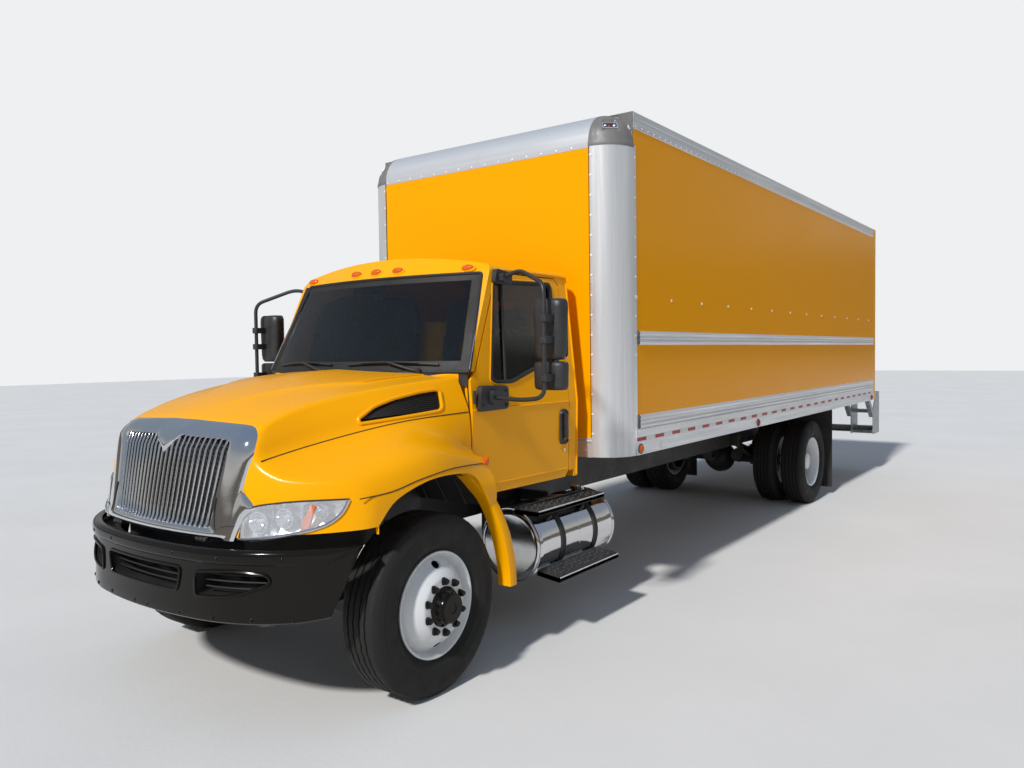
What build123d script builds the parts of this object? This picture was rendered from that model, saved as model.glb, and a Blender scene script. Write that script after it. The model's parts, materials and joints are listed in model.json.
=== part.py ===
from build123d import *
import os

# Box truck with a conventional cab, a tilting hood and an aluminium-framed load body.
# Millimetres, +X to the truck's left, +Y rearwards, +Z up. The origin is on the ground,
# under the middle of the truck. Stations run rearwards from a plane at the grille's foot.
os.makedirs("parts", exist_ok=True)
LEFT, RIGHT = 1, -1

# Driving dimensions of the running gear
wheelbase = 6909
front_axle_station = 1016
tyre_radius = 510
tyre_width = 279
flange_radius = 300
bead_seat_radius = 288
front_track = 2050
dual_spacing = 343
dual_middle = 914.5
running_clearance = 0.1
seat_clearance = 0.3

# Driving dimensions of the frame
frame_top = 1008
frame_depth = 275
frame_width = 862
flange_width = 76
rail_gauge = 10
frame_front = 180
frame_tail = 260

# Driving dimensions of the cab
cab_back = 2718
cab_sill = frame_top
cowl_z = 1788
cab_wall = 50
windscreen_rake = 0.458
glass_gauge = 6

# Driving dimensions of the load body
body_gap = 140
body_length = 8025
body_width = 2570
body_bottom = 1127
body_top = 3690
corner_radius = 244
corner_gauge = 20
panel_gauge = 20
side_rail_depth = 12
nose_station = -89
rub_rail_depth = 15
rub_rail_height = 104
upper_rub_rail = 1960
lower_rub_rail = 1325
top_rail_height = 125
floor_gauge = 35
crossmember_depth = 76
rear_step_depth = 280
rear_post_width = 100
rear_post_depth = 160
rear_header_height = 190

body_front = cab_back + body_gap
body_back = body_front + body_length
middle_station = (nose_station + body_back + rear_step_depth) / 2
half_body = body_width / 2
rear_axle_station = front_axle_station + wheelbase
frame_bottom = frame_top - frame_depth
half_frame = frame_width / 2
frame_back = body_back - frame_tail
floor_bottom = body_bottom + crossmember_depth
floor_top = floor_bottom + floor_gauge
half_inside = half_body - panel_gauge


def y(station):
    """Distance along the truck's length from its middle."""
    return station - middle_station


def section_plane(station):
    """Upright plane across the truck, drawn as x and z; a negative extrusion runs rearwards."""
    return Plane(origin=(0, y(station), 0), x_dir=(1, 0, 0), z_dir=(0, -1, 0))


def side_plane(x=0):
    """Upright plane along the truck, drawn as station and z; an extrusion runs to the left."""
    return Plane(origin=(x, y(0), 0), x_dir=(0, 1, 0), z_dir=(1, 0, 0))


def plan_plane(z=0):
    """Level plane, drawn as x and station; an extrusion runs up."""
    return Plane(origin=(0, y(0), z), x_dir=(1, 0, 0), z_dir=(0, 0, 1))


def block(x_span, station_span, z_span, mode=Mode.ADD):
    """Rectangular block between two values of x, station and z."""
    (x0, x1), (s0, s1), (z0, z1) = sorted(x_span), sorted(station_span), sorted(z_span)
    with Locations(((x0 + x1) / 2, y((s0 + s1) / 2), (z0 + z1) / 2)):
        Box(x1 - x0, s1 - s0, z1 - z0, mode=mode)


def cross_rod(x_span, station, z, radius, mode=Mode.ADD):
    """Round bar across the truck."""
    x0, x1 = sorted(x_span)
    with Locations(((x0 + x1) / 2, y(station), z)):
        Cylinder(radius, x1 - x0, rotation=(0, 90, 0), mode=mode)


def upright_rod(x, station, z_span, radius, mode=Mode.ADD):
    """Round bar standing up."""
    z0, z1 = sorted(z_span)
    with Locations((x, y(station), (z0 + z1) / 2)):
        Cylinder(radius, z1 - z0, mode=mode)


def lengthwise_rod(x, station_span, z, radius, mode=Mode.ADD):
    """Round bar along the truck."""
    s0, s1 = sorted(station_span)
    with Locations((x, y((s0 + s1) / 2), z)):
        Cylinder(radius, s1 - s0, rotation=(90, 0, 0), mode=mode)


def side_prism(outline, x_span, mode=Mode.ADD):
    """Straight-edged outline in station and z, carried across between two values of x."""
    x0, x1 = sorted(x_span)
    with BuildSketch(side_plane(x0)) as profile:
        Polygon(*outline, align=None)
    extrude(profile.sketch, amount=x1 - x0, mode=mode)


def front_prism(outline, station_span, mode=Mode.ADD):
    """Straight-edged outline in x and z, carried rearwards between two stations."""
    s0, s1 = sorted(station_span)
    with BuildSketch(section_plane(s0)) as profile:
        Polygon(*outline, align=None)
    extrude(profile.sketch, amount=s0 - s1, mode=mode)


# Chassis frame: channel rails, crossmembers, tow plates and hood hinge posts
hood_pivot_station = 36
hood_pivot_z = 980
hood_pin_radius = 8
hood_lug_radius = 14
hood_post_x = (397, 421)
hood_pin_x = (365, 455)
crossmember_stations = (2300, 3350, 4450, 5650, 7150, 8685, 10300)
tow_plate_gauge = 25
tow_eye_radius = 20
tow_eye_station = 130
tow_eye_x = 330
with BuildPart() as frame:
    for side in (LEFT, RIGHT):
        with BuildSketch(section_plane(frame_front)):
            with Locations((side * (half_frame - flange_width / 2), frame_top - frame_depth / 2)):
                Rectangle(flange_width, frame_depth)
            inner = flange_width - rail_gauge
            with Locations((side * (half_frame - rail_gauge - inner / 2), frame_top - frame_depth / 2)):
                Rectangle(inner, frame_depth - 2 * rail_gauge, mode=Mode.SUBTRACT)
        extrude(amount=-(frame_back - frame_front))
    reach = half_frame - rail_gauge
    for station in crossmember_stations:
        block((-reach, reach), (station - 40, station + 40), (frame_top - 130, frame_top - 15))
        block((-reach, reach), (station - 40, station + 32), (frame_top - 122, frame_top - 23),
              mode=Mode.SUBTRACT)
    block((-reach, reach), (frame_front, frame_front + 60), (frame_bottom, frame_bottom + 90))
    for side in (LEFT, RIGHT):
        post = [side * x for x in hood_post_x]
        block(post, (hood_pivot_station, frame_front + 60),
              (hood_pivot_z - hood_lug_radius, hood_pivot_z + hood_lug_radius))
        cross_rod(post, hood_pivot_station, hood_pivot_z, hood_lug_radius)
        cross_rod([side * x for x in hood_pin_x], hood_pivot_station, hood_pivot_z,
                  hood_pin_radius)
        block((side * (tow_eye_x - 45), side * (tow_eye_x + 45)),
              (tow_eye_station - 45, frame_front + 5),
              (frame_bottom + 10, frame_bottom + 10 + tow_plate_gauge))
        upright_rod(side * tow_eye_x, tow_eye_station, (frame_bottom, frame_bottom + 60),
                    tow_eye_radius, mode=Mode.SUBTRACT)
frame.part.label = "frame"
export_step(frame.part, "parts/frame.step")

# Front bumper: a curved channel with three openings and swept-up ends
bumper_top = 960
bumper_bottom = 588
bumper_gauge = 10
bumper_lip = 50
bumper_shoulder = (460, -51)
bumper_shoulder_slope = 0.16
bumper_end = (1150, 450)
bumper_ends = [(-100, bumper_bottom), (80, bumper_bottom), (200, 592), (311, 607), (454, 967),
               (-100, 967)]
bumper_centre_opening = [(-346, 845), (346, 845), (320, 729), (-320, 729)]
bumper_side_opening = [(463, 837), (663, 857), (832, 838), (846, 812), (832, 790), (713, 745),
                       (626, 727), (458, 717)]
bumper_bracket_z = (750, 852)
bracket_x = (340, half_frame)
bracket_gauge = 12


def bumper_outline(inset):
    """Plan of the bumper's front, closed straight across at the back; the inset runs inwards."""
    shoulder_x, shoulder_s = bumper_shoulder
    end_x, end_s = bumper_end
    with BuildSketch() as plan:
        with BuildLine():
            arc_x = shoulder_x - inset * bumper_shoulder_slope
            nose = ThreePointArc((-arc_x, shoulder_s + inset), (0, nose_station + inset),
                                 (arc_x, shoulder_s + inset))
            left = TangentArc(nose @ 1, (end_x - inset, end_s), tangent=nose % 1)
            right = TangentArc(nose @ 0, (inset - end_x, end_s), tangent=-(nose % 0))
            Line(left @ 1, right @ 1)
        make_face()
    return plan.sketch


bumper_face = bumper_outline(0)
bumper_back = bumper_outline(bumper_gauge)
bumper_lip_edge = bumper_outline(bumper_lip)
with BuildPart() as bumper_brackets:
    for side in (LEFT, RIGHT):
        bracket = [side * x for x in bracket_x]
        low, high = bumper_bracket_z
        block(bracket, (nose_station, frame_front), (high - bracket_gauge, high))
        block(bracket, (nose_station, nose_station + 60), (low, high))
    with BuildSketch(plan_plane(bumper_bottom)) as inside:
        add(bumper_back)
    extrude(inside.sketch, amount=bumper_top - bumper_bottom, mode=Mode.INTERSECT)
with BuildPart() as front_bumper:
    with BuildSketch(plan_plane(bumper_bottom)):
        add(bumper_face)
        add(bumper_lip_edge, mode=Mode.SUBTRACT)
    extrude(amount=bumper_top - bumper_bottom)
    with BuildSketch(plan_plane(bumper_bottom + bumper_gauge)):
        add(bumper_back)
    extrude(amount=bumper_top - bumper_bottom - 2 * bumper_gauge, mode=Mode.SUBTRACT)
    side_prism(bumper_ends, (-bumper_end[0], bumper_end[0]), mode=Mode.INTERSECT)
    for outline in (bumper_centre_opening, bumper_side_opening,
                    [(-x, z) for x, z in bumper_side_opening]):
        front_prism(outline, (nose_station - 10, 300), mode=Mode.SUBTRACT)
    add(bumper_brackets.part)
front_bumper.part.label = "front_bumper"
export_step(front_bumper.part, "parts/front_bumper.step")

# Hood sections: station, crown height and the x and z of the shoulder, seam, crest and edge
hood_sections = [
    {"station": 40, "crown": 1510, "shoulder": (622, 1462), "seam": (655, 1345),
     "crest": (800, 1230), "edge": (1000, 1130), "foot": (1010, 1000)},
    {"station": 480, "crown": 1692, "shoulder": (650, 1632), "seam": (748, 1440),
     "crest": (985, 1325), "edge": (1140, 1195), "foot": (1150, 1000)},
    {"station": 980, "crown": 1800, "shoulder": (775, 1722), "seam": (890, 1525),
     "crest": (1080, 1415), "edge": (1200, 1245), "foot": (1205, 1000)},
    {"station": 1545, "crown": 1824, "shoulder": (905, 1775), "seam": (967, 1554),
     "crest": (1010, 1330), "edge": (1180, 1215), "foot": (1205, 1000)},
]
hood_wall = 28
hood_floor = 900
vent_recess = 12
nose_rake = 0.19
nose_base_z = 980
nose_foot_z = 880
nose_centre = 4
nose_quarter = (500, 51)
nose_end = (1170, 500)
nose_crest_z = 1480
nose_crest_rake = 1.08
nose_wall = 40
hood_rear_centre = 1330
hood_rear_side = (975, 1530)
arch_outline = [(548, 900), (550, 1042), (668, 1161), (900, 1233), (1152, 1233), (1331, 1187),
                (1489, 973), (1592, 648), (1609, 470), (1609, 200), (548, 200)]
skirt_outline = [(1331, 1170), (1350, 1215), (1400, 1190), (1560, 973), (1665, 648),
                 (1680, 478), (1609, 478), (1592, 648), (1489, 973)]
skirt_x = (1110, 1205)
fender_foot = [(0, 990), (250, 1030), (548, 1040), (548, 900), (0, 900)]
grille_half_frame = [(613, 985), (622, 1200), (650, 1337), (670, 1410), (673, 1494), (640, 1532),
                     (568, 1556), (0, 1579)]
grille_half_opening = [(445, 1048), (500, 1468), (450, 1479), (118, 1490), (0, 1396)]
grille_frame = grille_half_frame + [(-x, z) for x, z in reversed(grille_half_frame[:-1])]
grille_opening = grille_half_opening + [(-x, z) for x, z in reversed(grille_half_opening[:-1])]
headlamp_outline = [(640, 1000), (640, 1120), (700, 1158), (900, 1186), (1085, 1190),
                    (1062, 1118), (1000, 1062), (850, 1020), (700, 1000)]
vent_outline = [(790, 1553), (1000, 1640), (1180, 1677), (1300, 1690), (1330, 1684), (1318, 1592),
                (1290, 1575)]


def hood_form(inset):
    """Solid inside the hood's skin, from the nose to the cab, drawn in by the inset."""
    with BuildPart() as form:
        for row in hood_sections:
            x1, z1 = row["shoulder"]
            x2, z2 = row["seam"]
            x3, z3 = row["crest"]
            x4, z4 = row["edge"]
            x5, z5 = row["foot"]
            crown = row["crown"] - inset
            right = [(x1 - inset, z1 - inset), (x2 - inset, z2 - inset / 2),
                     (x3 - inset, z3 - inset), (x4 - inset, z4 - inset), (x5 - inset, z5)]
            left = [(-x, z) for x, z in right]
            with BuildSketch(section_plane(row["station"])):
                with BuildLine():
                    ThreePointArc(left[0], (0, crown), right[0])
                    Polyline(*right, *reversed(left))
                make_face()
        loft()
    return form.part


def nose_form(setback):
    """Everything behind the curved nose, which leans back more above its crest; the setback
    moves it rearwards."""
    quarter_x, quarter_s = nose_quarter
    end_x, end_s = nose_end
    crest = nose_rake * (nose_crest_z - nose_base_z)
    leans = ((nose_rake, setback - nose_rake * (nose_base_z - nose_foot_z)),
             (nose_crest_rake, setback + crest - nose_crest_rake * (nose_crest_z - nose_foot_z)))
    with BuildPart() as form:
        for rake, start in leans:
            with BuildSketch(plan_plane(nose_foot_z)) as plan:
                with BuildLine():
                    nose = ThreePointArc((-quarter_x, quarter_s + start), (0, nose_centre + start),
                                         (quarter_x, quarter_s + start))
                    left = TangentArc(nose @ 1, (end_x, end_s + start), tangent=nose % 1)
                    right = TangentArc(nose @ 0, (-end_x, end_s + start), tangent=-(nose % 0))
                    Polyline(left @ 1, (1400, end_s + start + 100), (1400, 2600), (-1400, 2600),
                             (-1400, end_s + start + 100), right @ 1)
                make_face()
            mode = Mode.ADD if rake == nose_rake else Mode.INTERSECT
            extrude(plan.sketch, amount=2400, dir=(0, rake, 1), mode=mode)
    return form.part


def hood_rear(gap, height):
    """Everything ahead of the hood's curved rear edge, which is moved rearwards by the gap."""
    x, s = hood_rear_side
    with BuildPart() as form:
        with BuildSketch(plan_plane(hood_floor)):
            with BuildLine():
                edge = ThreePointArc((-x, s + gap), (0, hood_rear_centre + gap), (x, s + gap))
                Polyline(edge @ 1, (1400, s + gap), (1400, -100), (-1400, -100),
                         (-1400, s + gap), edge @ 0)
            make_face()
        extrude(amount=height)
    return form.part


hood_outer = hood_form(0)
hood_vent_face = hood_form(vent_recess)
hood_inner = hood_form(hood_wall)
nose_outer = nose_form(0)
nose_inner = nose_form(nose_wall)
ahead_of_cab = hood_rear(0, 1100)

with BuildPart() as hood_shell:
    add(hood_outer)
    add(nose_outer, mode=Mode.INTERSECT)
    add(ahead_of_cab, mode=Mode.INTERSECT)
with BuildPart() as hood_hollow:
    add(hood_inner)
    add(nose_inner, mode=Mode.INTERSECT)
surround_rise = 12
surround_back = 55
nose_proud = nose_form(-surround_rise)
nose_surround_back = nose_form(surround_back)
hood_proud = hood_form(-surround_rise)
with BuildPart() as grille_band:
    add(nose_proud)
    add(nose_surround_back, mode=Mode.SUBTRACT)
    front_prism(grille_frame, (-90, 420), mode=Mode.INTERSECT)
with BuildPart() as grille_reach:
    add(hood_proud)
    block((-700, 700), (-100, 420), (nose_base_z - 40, nose_base_z + 400))
hood_lug_x = ((365, 390), (428, 455))
hood_notch_x = (390, 428)
with BuildPart() as hood:
    add(hood_shell.part)
    add(hood_hollow.part, mode=Mode.SUBTRACT)
    side_prism(skirt_outline, skirt_x)
    side_prism(skirt_outline, [-x for x in skirt_x])
    side_prism(arch_outline, (-1300, 1300), mode=Mode.SUBTRACT)
    side_prism(fender_foot, (-1300, 1300), mode=Mode.SUBTRACT)
    add(grille_band.part, mode=Mode.SUBTRACT)
    for side in (LEFT, RIGHT):
        front_prism([(side * x, z) for x, z in headlamp_outline], (-60, 560), mode=Mode.SUBTRACT)
        side_prism(vent_outline, (side * 700, side * 1200), mode=Mode.SUBTRACT)
hood.part.label = "hood"
export_step(hood.part, "parts/hood.step")

# Grille: a broad bright surround, upright bars with a notch at the top, and the hinge lugs
grille_bars = 24
bar_width = 17
bar_depth = 26
bar_span = 492
bar_foot_share = 0.9
bar_shoulder_z = 1475
bar_foot_z = 1045
notch_depth = 88
notch_half = 118
with BuildPart() as grille:
    add(grille_band.part)
    add(grille_reach.part, mode=Mode.INTERSECT)
    front_prism(grille_opening, (-90, 420), mode=Mode.SUBTRACT)
    for index in range(grille_bars):
        share = (index + 0.5) / grille_bars * 2 - 1
        bar_x = share * bar_span
        notch = notch_depth * max(0, 1 - abs(bar_x) / notch_half)
        bar_height = bar_shoulder_z + 24 - notch - bar_foot_z
        bar_sweep = (nose_quarter[1] - nose_centre) * (bar_x / nose_quarter[0]) ** 2
        base = nose_centre + nose_rake * (bar_foot_z - 12 - nose_base_z) + bar_sweep
        with BuildSketch(plan_plane(bar_foot_z - 12)) as bar:
            with Locations((bar_x * bar_foot_share, base + bar_depth / 2 - 6)):
                RectangleRounded(bar_width, bar_depth, bar_width / 2 - 1)
        lean = (1 - bar_foot_share) * bar_x / (bar_shoulder_z - bar_foot_z)
        extrude(bar.sketch, amount=bar_height, dir=(lean, nose_rake, 1))
    for side in (LEFT, RIGHT):
        for lug in hood_lug_x:
            lug_x = [side * x for x in lug]
            block(lug_x, (hood_pivot_station, hood_pivot_station + 70),
                  (hood_pivot_z - hood_lug_radius, hood_pivot_z + 40))
            cross_rod(lug_x, hood_pivot_station, hood_pivot_z, hood_lug_radius)
        cross_rod([side * x for x in hood_pin_x], hood_pivot_station, hood_pivot_z,
                  hood_pin_radius + running_clearance, mode=Mode.SUBTRACT)
        block([side * x for x in hood_notch_x], (-60, 200), (hood_pivot_z - 40, hood_pivot_z + 30),
              mode=Mode.SUBTRACT)
grille.part.label = "grille"
export_step(grille.part, "parts/grille.step")

# Headlamps fill the openings in the corners of the hood; vents lie sunk in its sides
for side, hand in ((LEFT, "left"), (RIGHT, "right")):
    with BuildPart() as headlamp:
        add(hood_shell.part)
        add(hood_hollow.part, mode=Mode.SUBTRACT)
        front_prism([(side * x, z) for x, z in headlamp_outline], (-60, 560),
                    mode=Mode.INTERSECT)
        front_prism(grille_frame, (-90, 420), mode=Mode.SUBTRACT)
    headlamp.part.label = f"headlamp_{hand}"
    export_step(headlamp.part, f"parts/headlamp_{hand}.step")
    with BuildPart() as hood_vent:
        add(hood_vent_face)
        add(hood_inner, mode=Mode.SUBTRACT)
        side_prism(vent_outline, (side * 700, side * 1200), mode=Mode.INTERSECT)
    hood_vent.part.label = f"hood_vent_{hand}"
    export_step(hood_vent.part, f"parts/hood_vent_{hand}.step")

# Cab sections: station, then the x and z of the sill, belt and eave, the shoulder and crown
cab_sections = [
    {"station": 1250, "sill": (952, cab_sill), "belt": (968, 1560), "eave": (908, 2430),
     "shoulder": (835, 2502), "crown": 2570},
    {"station": 2718, "sill": (1005, cab_sill), "belt": (1018, 1560), "eave": (928, 2430),
     "shoulder": (850, 2505), "crown": 2600},
]
windscreen_centre = 1372
windscreen_corner = (973, 1536)
windscreen_outline = [(-968, 1796), (968, 1796), (872, 2436), (-872, 2436)]
windscreen_hole = [(-885, 1850), (885, 1850), (808, 2385), (-808, 2385)]
door_outline = [(1545, 1016), (1545, 1745), (1606, 1808), (1892, 2436), (2550, 2436),
                (2600, 2385), (2600, 1060), (2560, 1016)]
door_aperture = [(1500, 1008), (1500, 1745), (1592, 1810), (1880, 2444), (2556, 2444),
                 (2608, 2392), (2608, 1056), (2564, 1008), (2564, 900), (1500, 900)]
side_window = [(1748, 1748), (1850, 2378), (2500, 2398), (2512, 1812), (2232, 1803),
               (1965, 1722), (1800, 1728)]
back_window = [(-480, 1850), (480, 1850), (480, 2300), (-480, 2300)]


def cab_form(inset):
    """Solid inside the cab's skin, drawn in by the inset."""
    with BuildPart() as form:
        for row in cab_sections:
            (sill_x, sill_z), (belt_x, belt_z), (eave_x, eave_z) = row["sill"], row["belt"], row["eave"]
            shoulder_x, shoulder_z = row["shoulder"]
            with BuildSketch(section_plane(row["station"])):
                with BuildLine():
                    Polyline((-eave_x + inset, eave_z), (-belt_x + inset, belt_z),
                             (-sill_x + inset, sill_z), (sill_x - inset, sill_z),
                             (belt_x - inset, belt_z), (eave_x - inset, eave_z))
                    ThreePointArc((eave_x - inset, eave_z),
                                  (eave_x - inset - 18, eave_z + 46 - inset / 2),
                                  (shoulder_x - inset, shoulder_z - inset))
                    ThreePointArc((shoulder_x - inset, shoulder_z - inset), (0, row["crown"] - inset),
                                  (inset - shoulder_x, shoulder_z - inset))
                    ThreePointArc((inset - shoulder_x, shoulder_z - inset),
                                  (inset + 18 - eave_x, eave_z + 46 - inset / 2),
                                  (inset - eave_x, eave_z))
                make_face()
        loft(ruled=True)
    return form.part


def raked_form(setback, base_z, rake, height):
    """Everything behind a raked and curved front that meets the windscreen at the base."""
    x, s = windscreen_corner
    start = setback + windscreen_rake * (base_z - cowl_z)
    with BuildPart() as form:
        with BuildSketch(plan_plane(base_z)):
            with BuildLine():
                front = ThreePointArc((-x, s + start), (0, windscreen_centre + start),
                                      (x, s + start))
                Polyline(front @ 1, (1300, s + start), (1300, 3600), (-1300, 3600),
                         (-1300, s + start), front @ 0)
            make_face()
        extrude(amount=height, dir=(0, rake, 1))
    return form.part


def windscreen_form(setback):
    """Everything behind the windscreen's face, which is moved rearwards by the setback."""
    return raked_form(setback, cab_sill, windscreen_rake, 1700)


cab_skin = cab_form(0)
cab_hollow = cab_form(cab_wall)
screen_face = windscreen_form(0)
screen_back = windscreen_form(cab_wall)
glass_back = windscreen_form(glass_gauge + 2)
glass_front = windscreen_form(1)
behind_hood_gap = 14
firewall_station = 1544
firewall_gauge = 40
firewall_half = 895
ahead_of_cowl = hood_rear(behind_hood_gap, cowl_z + 12 - hood_floor)
roof_edge_z = 2448
brow_rake = 0.9
brow_wall = 70
brow_face = raked_form(0, roof_edge_z, brow_rake, 400)
brow_back = raked_form(brow_wall, roof_edge_z, brow_rake, 400)
with BuildPart() as cab_shell:
    add(cab_skin)
    add(screen_face, mode=Mode.INTERSECT)
with BuildPart() as cab_void:
    add(cab_hollow)
    add(screen_back, mode=Mode.INTERSECT)
    block((-1200, 1200), (900, cab_back - cab_wall), (cab_sill - 50, roof_edge_z),
          mode=Mode.INTERSECT)
with BuildPart() as roof_void:
    add(cab_hollow)
    add(brow_back, mode=Mode.INTERSECT)
    block((-1200, 1200), (900, cab_back - cab_wall), (roof_edge_z - 1, 2700), mode=Mode.INTERSECT)

with BuildPart() as screen_recess:
    add(screen_face)
    add(glass_back, mode=Mode.SUBTRACT)
    front_prism(windscreen_outline, (1200, 2000), mode=Mode.INTERSECT)

# Cab front: firewall, cowl, windscreen pillars and header
with BuildPart() as cab_front:
    add(cab_shell.part)
    add(cab_void.part, mode=Mode.SUBTRACT)
    side_prism([(1300, 1730), (1584, 1730), (1592, 1810), (1880, 2444), (1880, 2448),
                (1300, 2448)], (-1200, 1200), mode=Mode.INTERSECT)
    add(ahead_of_cowl, mode=Mode.SUBTRACT)
    for side in (LEFT, RIGHT):
        block((side * firewall_half, side * 1200), (1300, 1700), (1000, 1800), mode=Mode.SUBTRACT)
    block((-firewall_half, firewall_half), (firewall_station, firewall_station + firewall_gauge),
          (cab_sill, cowl_z))
    front_prism(windscreen_hole, (1200, 2000), mode=Mode.SUBTRACT)
    add(screen_recess.part, mode=Mode.SUBTRACT)
cab_front.part.label = "cab_front"
export_step(cab_front.part, "parts/cab_front.step")

# Cab roof, back wall and floor
cab_floor_half = 905
roof_back = cab_back - 60
with BuildPart() as cab_roof:
    add(cab_skin)
    add(brow_face, mode=Mode.INTERSECT)
    add(roof_void.part, mode=Mode.SUBTRACT)
    block((-1200, 1200), (1300, roof_back), (roof_edge_z, 2700), mode=Mode.INTERSECT)
cab_roof.part.label = "cab_roof"
export_step(cab_roof.part, "parts/cab_roof.step")

with BuildPart() as cab_rear:
    add(cab_shell.part)
    add(cab_void.part, mode=Mode.SUBTRACT)
    add(roof_void.part, mode=Mode.SUBTRACT)
    block((-1200, 1200), (2300, cab_back), (cab_sill, 2700), mode=Mode.INTERSECT)
    block((-1200, 1200), (2300, roof_back), (roof_edge_z, 2700), mode=Mode.SUBTRACT)
    block((-1200, 1200), (2300, cab_back - cab_wall), (900, cab_sill + cab_wall),
          mode=Mode.SUBTRACT)
    side_prism(door_aperture, (-1200, 1200), mode=Mode.SUBTRACT)
    front_prism(back_window, (2500, 2800), mode=Mode.SUBTRACT)
cab_rear.part.label = "cab_rear"
export_step(cab_rear.part, "parts/cab_rear.step")

with BuildPart() as cab_floor:
    block((-cab_floor_half, cab_floor_half), (firewall_station + firewall_gauge, cab_back - cab_wall),
          (cab_sill, cab_sill + cab_wall))
cab_floor.part.label = "cab_floor"
export_step(cab_floor.part, "parts/cab_floor.step")

# Windscreen and back window
with BuildPart() as windscreen:
    add(glass_front)
    add(glass_back, mode=Mode.SUBTRACT)
    front_prism(windscreen_outline, (1200, 2000), mode=Mode.INTERSECT)
windscreen.part.label = "windscreen"
export_step(windscreen.part, "parts/windscreen.step")

with BuildPart() as back_glass:
    front_prism(back_window, (cab_back - 32, cab_back - 32 + glass_gauge))
back_glass.part.label = "back_window"
export_step(back_glass.part, "parts/back_window.step")

# Five marker lamps along the brow of the roof
brow_lamps = ((-760, 1815, 2490), (-205, 1735, 2515), (0, 1727, 2517), (205, 1735, 2515),
              (760, 1815, 2490))
brow_lamp_radius = 36
with BuildPart() as roof_lamps:
    for x, station, z in brow_lamps:
        upright_rod(x, station, (z - 22, z + 22), brow_lamp_radius)
    add(cab_roof.part, mode=Mode.SUBTRACT)
    add(roof_void.part, mode=Mode.SUBTRACT)
roof_lamps.part.label = "roof_lamps"
export_step(roof_lamps.part, "parts/roof_lamps.step")

# Doors, their glass and mirrors
door_glass_depth = 20
door_glass_face = cab_form(door_glass_depth)
door_glass_back = cab_form(door_glass_depth + glass_gauge)
mirror_tube = 14
mirror_head_x = (1251, 1479)
mirror_head_station = (1789, 1889)
upper_head_z = (1867, 2242)
lower_head_z = (1680, 1856)
mirror_arm = ((955, 1905, 2405), (1110, 1880, 2440), (1401, 1717, 2330), (1401, 1717, 1640),
              (1240, 1720, 1620), (990, 1730, 1632))
mirror_arm_bend = 60
for side, hand in ((LEFT, "left"), (RIGHT, "right")):
    with BuildPart() as door:
        add(cab_skin)
        add(cab_hollow, mode=Mode.SUBTRACT)
        side_prism(door_outline, (side * 700, side * 1200), mode=Mode.INTERSECT)
        side_prism(side_window, (side * 700, side * 1200), mode=Mode.SUBTRACT)
        block((side * 1000, side * 1034), (2535, 2570), (1290, 1460))
    door.part.label = f"door_{hand}"
    export_step(door.part, f"parts/door_{hand}.step")
    with BuildPart() as door_glass:
        add(door_glass_face)
        add(door_glass_back, mode=Mode.SUBTRACT)
        side_prism(side_window, (side * 700, side * 1200), mode=Mode.INTERSECT)
    door_glass.part.label = f"door_glass_{hand}"
    export_step(door_glass.part, f"parts/door_glass_{hand}.step")
    with BuildPart() as door_mirror:
        with BuildLine() as arm:
            FilletPolyline(*((side * x, y(station), z) for x, station, z in mirror_arm),
                           radius=mirror_arm_bend)
        with BuildSketch(Plane(arm.line @ 0, z_dir=arm.line % 0)):
            Circle(mirror_tube)
        sweep()
        block([side * x for x in mirror_head_x], mirror_head_station, upper_head_z)
        block([side * x for x in mirror_head_x], mirror_head_station, lower_head_z)
        fillet(door_mirror.edges().filter_by(GeomType.LINE), 24)
        for z in (1760, 1990, 2120):
            block((side * 1376, side * 1426), (1697, 1800), (z - 22, z + 22))
        block((side * 950, side * 1030), (1590, 1870), (1552, 1708))
        block((side * 900, side * 975), (1835, 2005), (2366, 2434))
        add(cab_skin, mode=Mode.SUBTRACT)
    door_mirror.part.label = f"mirror_{hand}"
    export_step(door_mirror.part, f"parts/mirror_{hand}.step")

# Dashboard, steering wheel with its column, and the seats
wheel_centre = (480, 1900, 1660)
column_radius = 25
column_length = 200
with BuildPart() as dashboard:
    side_prism([(1584, 1330), (1584, 1700), (1700, 1740), (1800, 1690), (1840, 1560), (1800, 1350)],
               (-880, 880))
    x, station, z = wheel_centre
    column = Plane(origin=(x, y(station), z), x_dir=(1, 0, 0), z_dir=(0, 0.5, 0.866))
    with BuildSketch(column):
        Circle(column_radius + seat_clearance)
    extrude(amount=-column_length - 20, mode=Mode.SUBTRACT)
dashboard.part.label = "dashboard"
export_step(dashboard.part, "parts/dashboard.step")

with BuildPart() as steering_wheel:
    x, station, z = wheel_centre
    wheel_plane = Plane(origin=(x, y(station), z), x_dir=(1, 0, 0), z_dir=(0, 0.5, 0.866))
    with BuildSketch(wheel_plane.offset(-12)):
        Circle(225)
        Circle(195, mode=Mode.SUBTRACT)
        with PolarLocations(0, 3, 90):
            Rectangle(200, 30, align=(Align.MIN, Align.CENTER))
        Circle(60)
    extrude(amount=24)
    with BuildSketch(wheel_plane.offset(-12)):
        Circle(column_radius)
    extrude(amount=12 - column_length)
steering_wheel.part.label = "steering_wheel"
export_step(steering_wheel.part, "parts/steering_wheel.step")

for name, x0, x1 in (("driver_seat", 230, 730), ("bench_seat", -780, 60)):
    with BuildPart() as seat:
        block((x0, x1), (2080, 2560), (1350, 1470))
        side_prism([(2470, 1440), (2560, 1440), (2655, 2080), (2560, 2080)], (x0, x1))
        block((x0 + 60, x1 - 60), (2150, 2500), (cab_sill + cab_wall, 1350))
        block(((x0 + x1) / 2 - 130, (x0 + x1) / 2 + 130), (2575, 2655), (2060, 2250))
    seat.part.label = name
    export_step(seat.part, f"parts/{name}.step")

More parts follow.
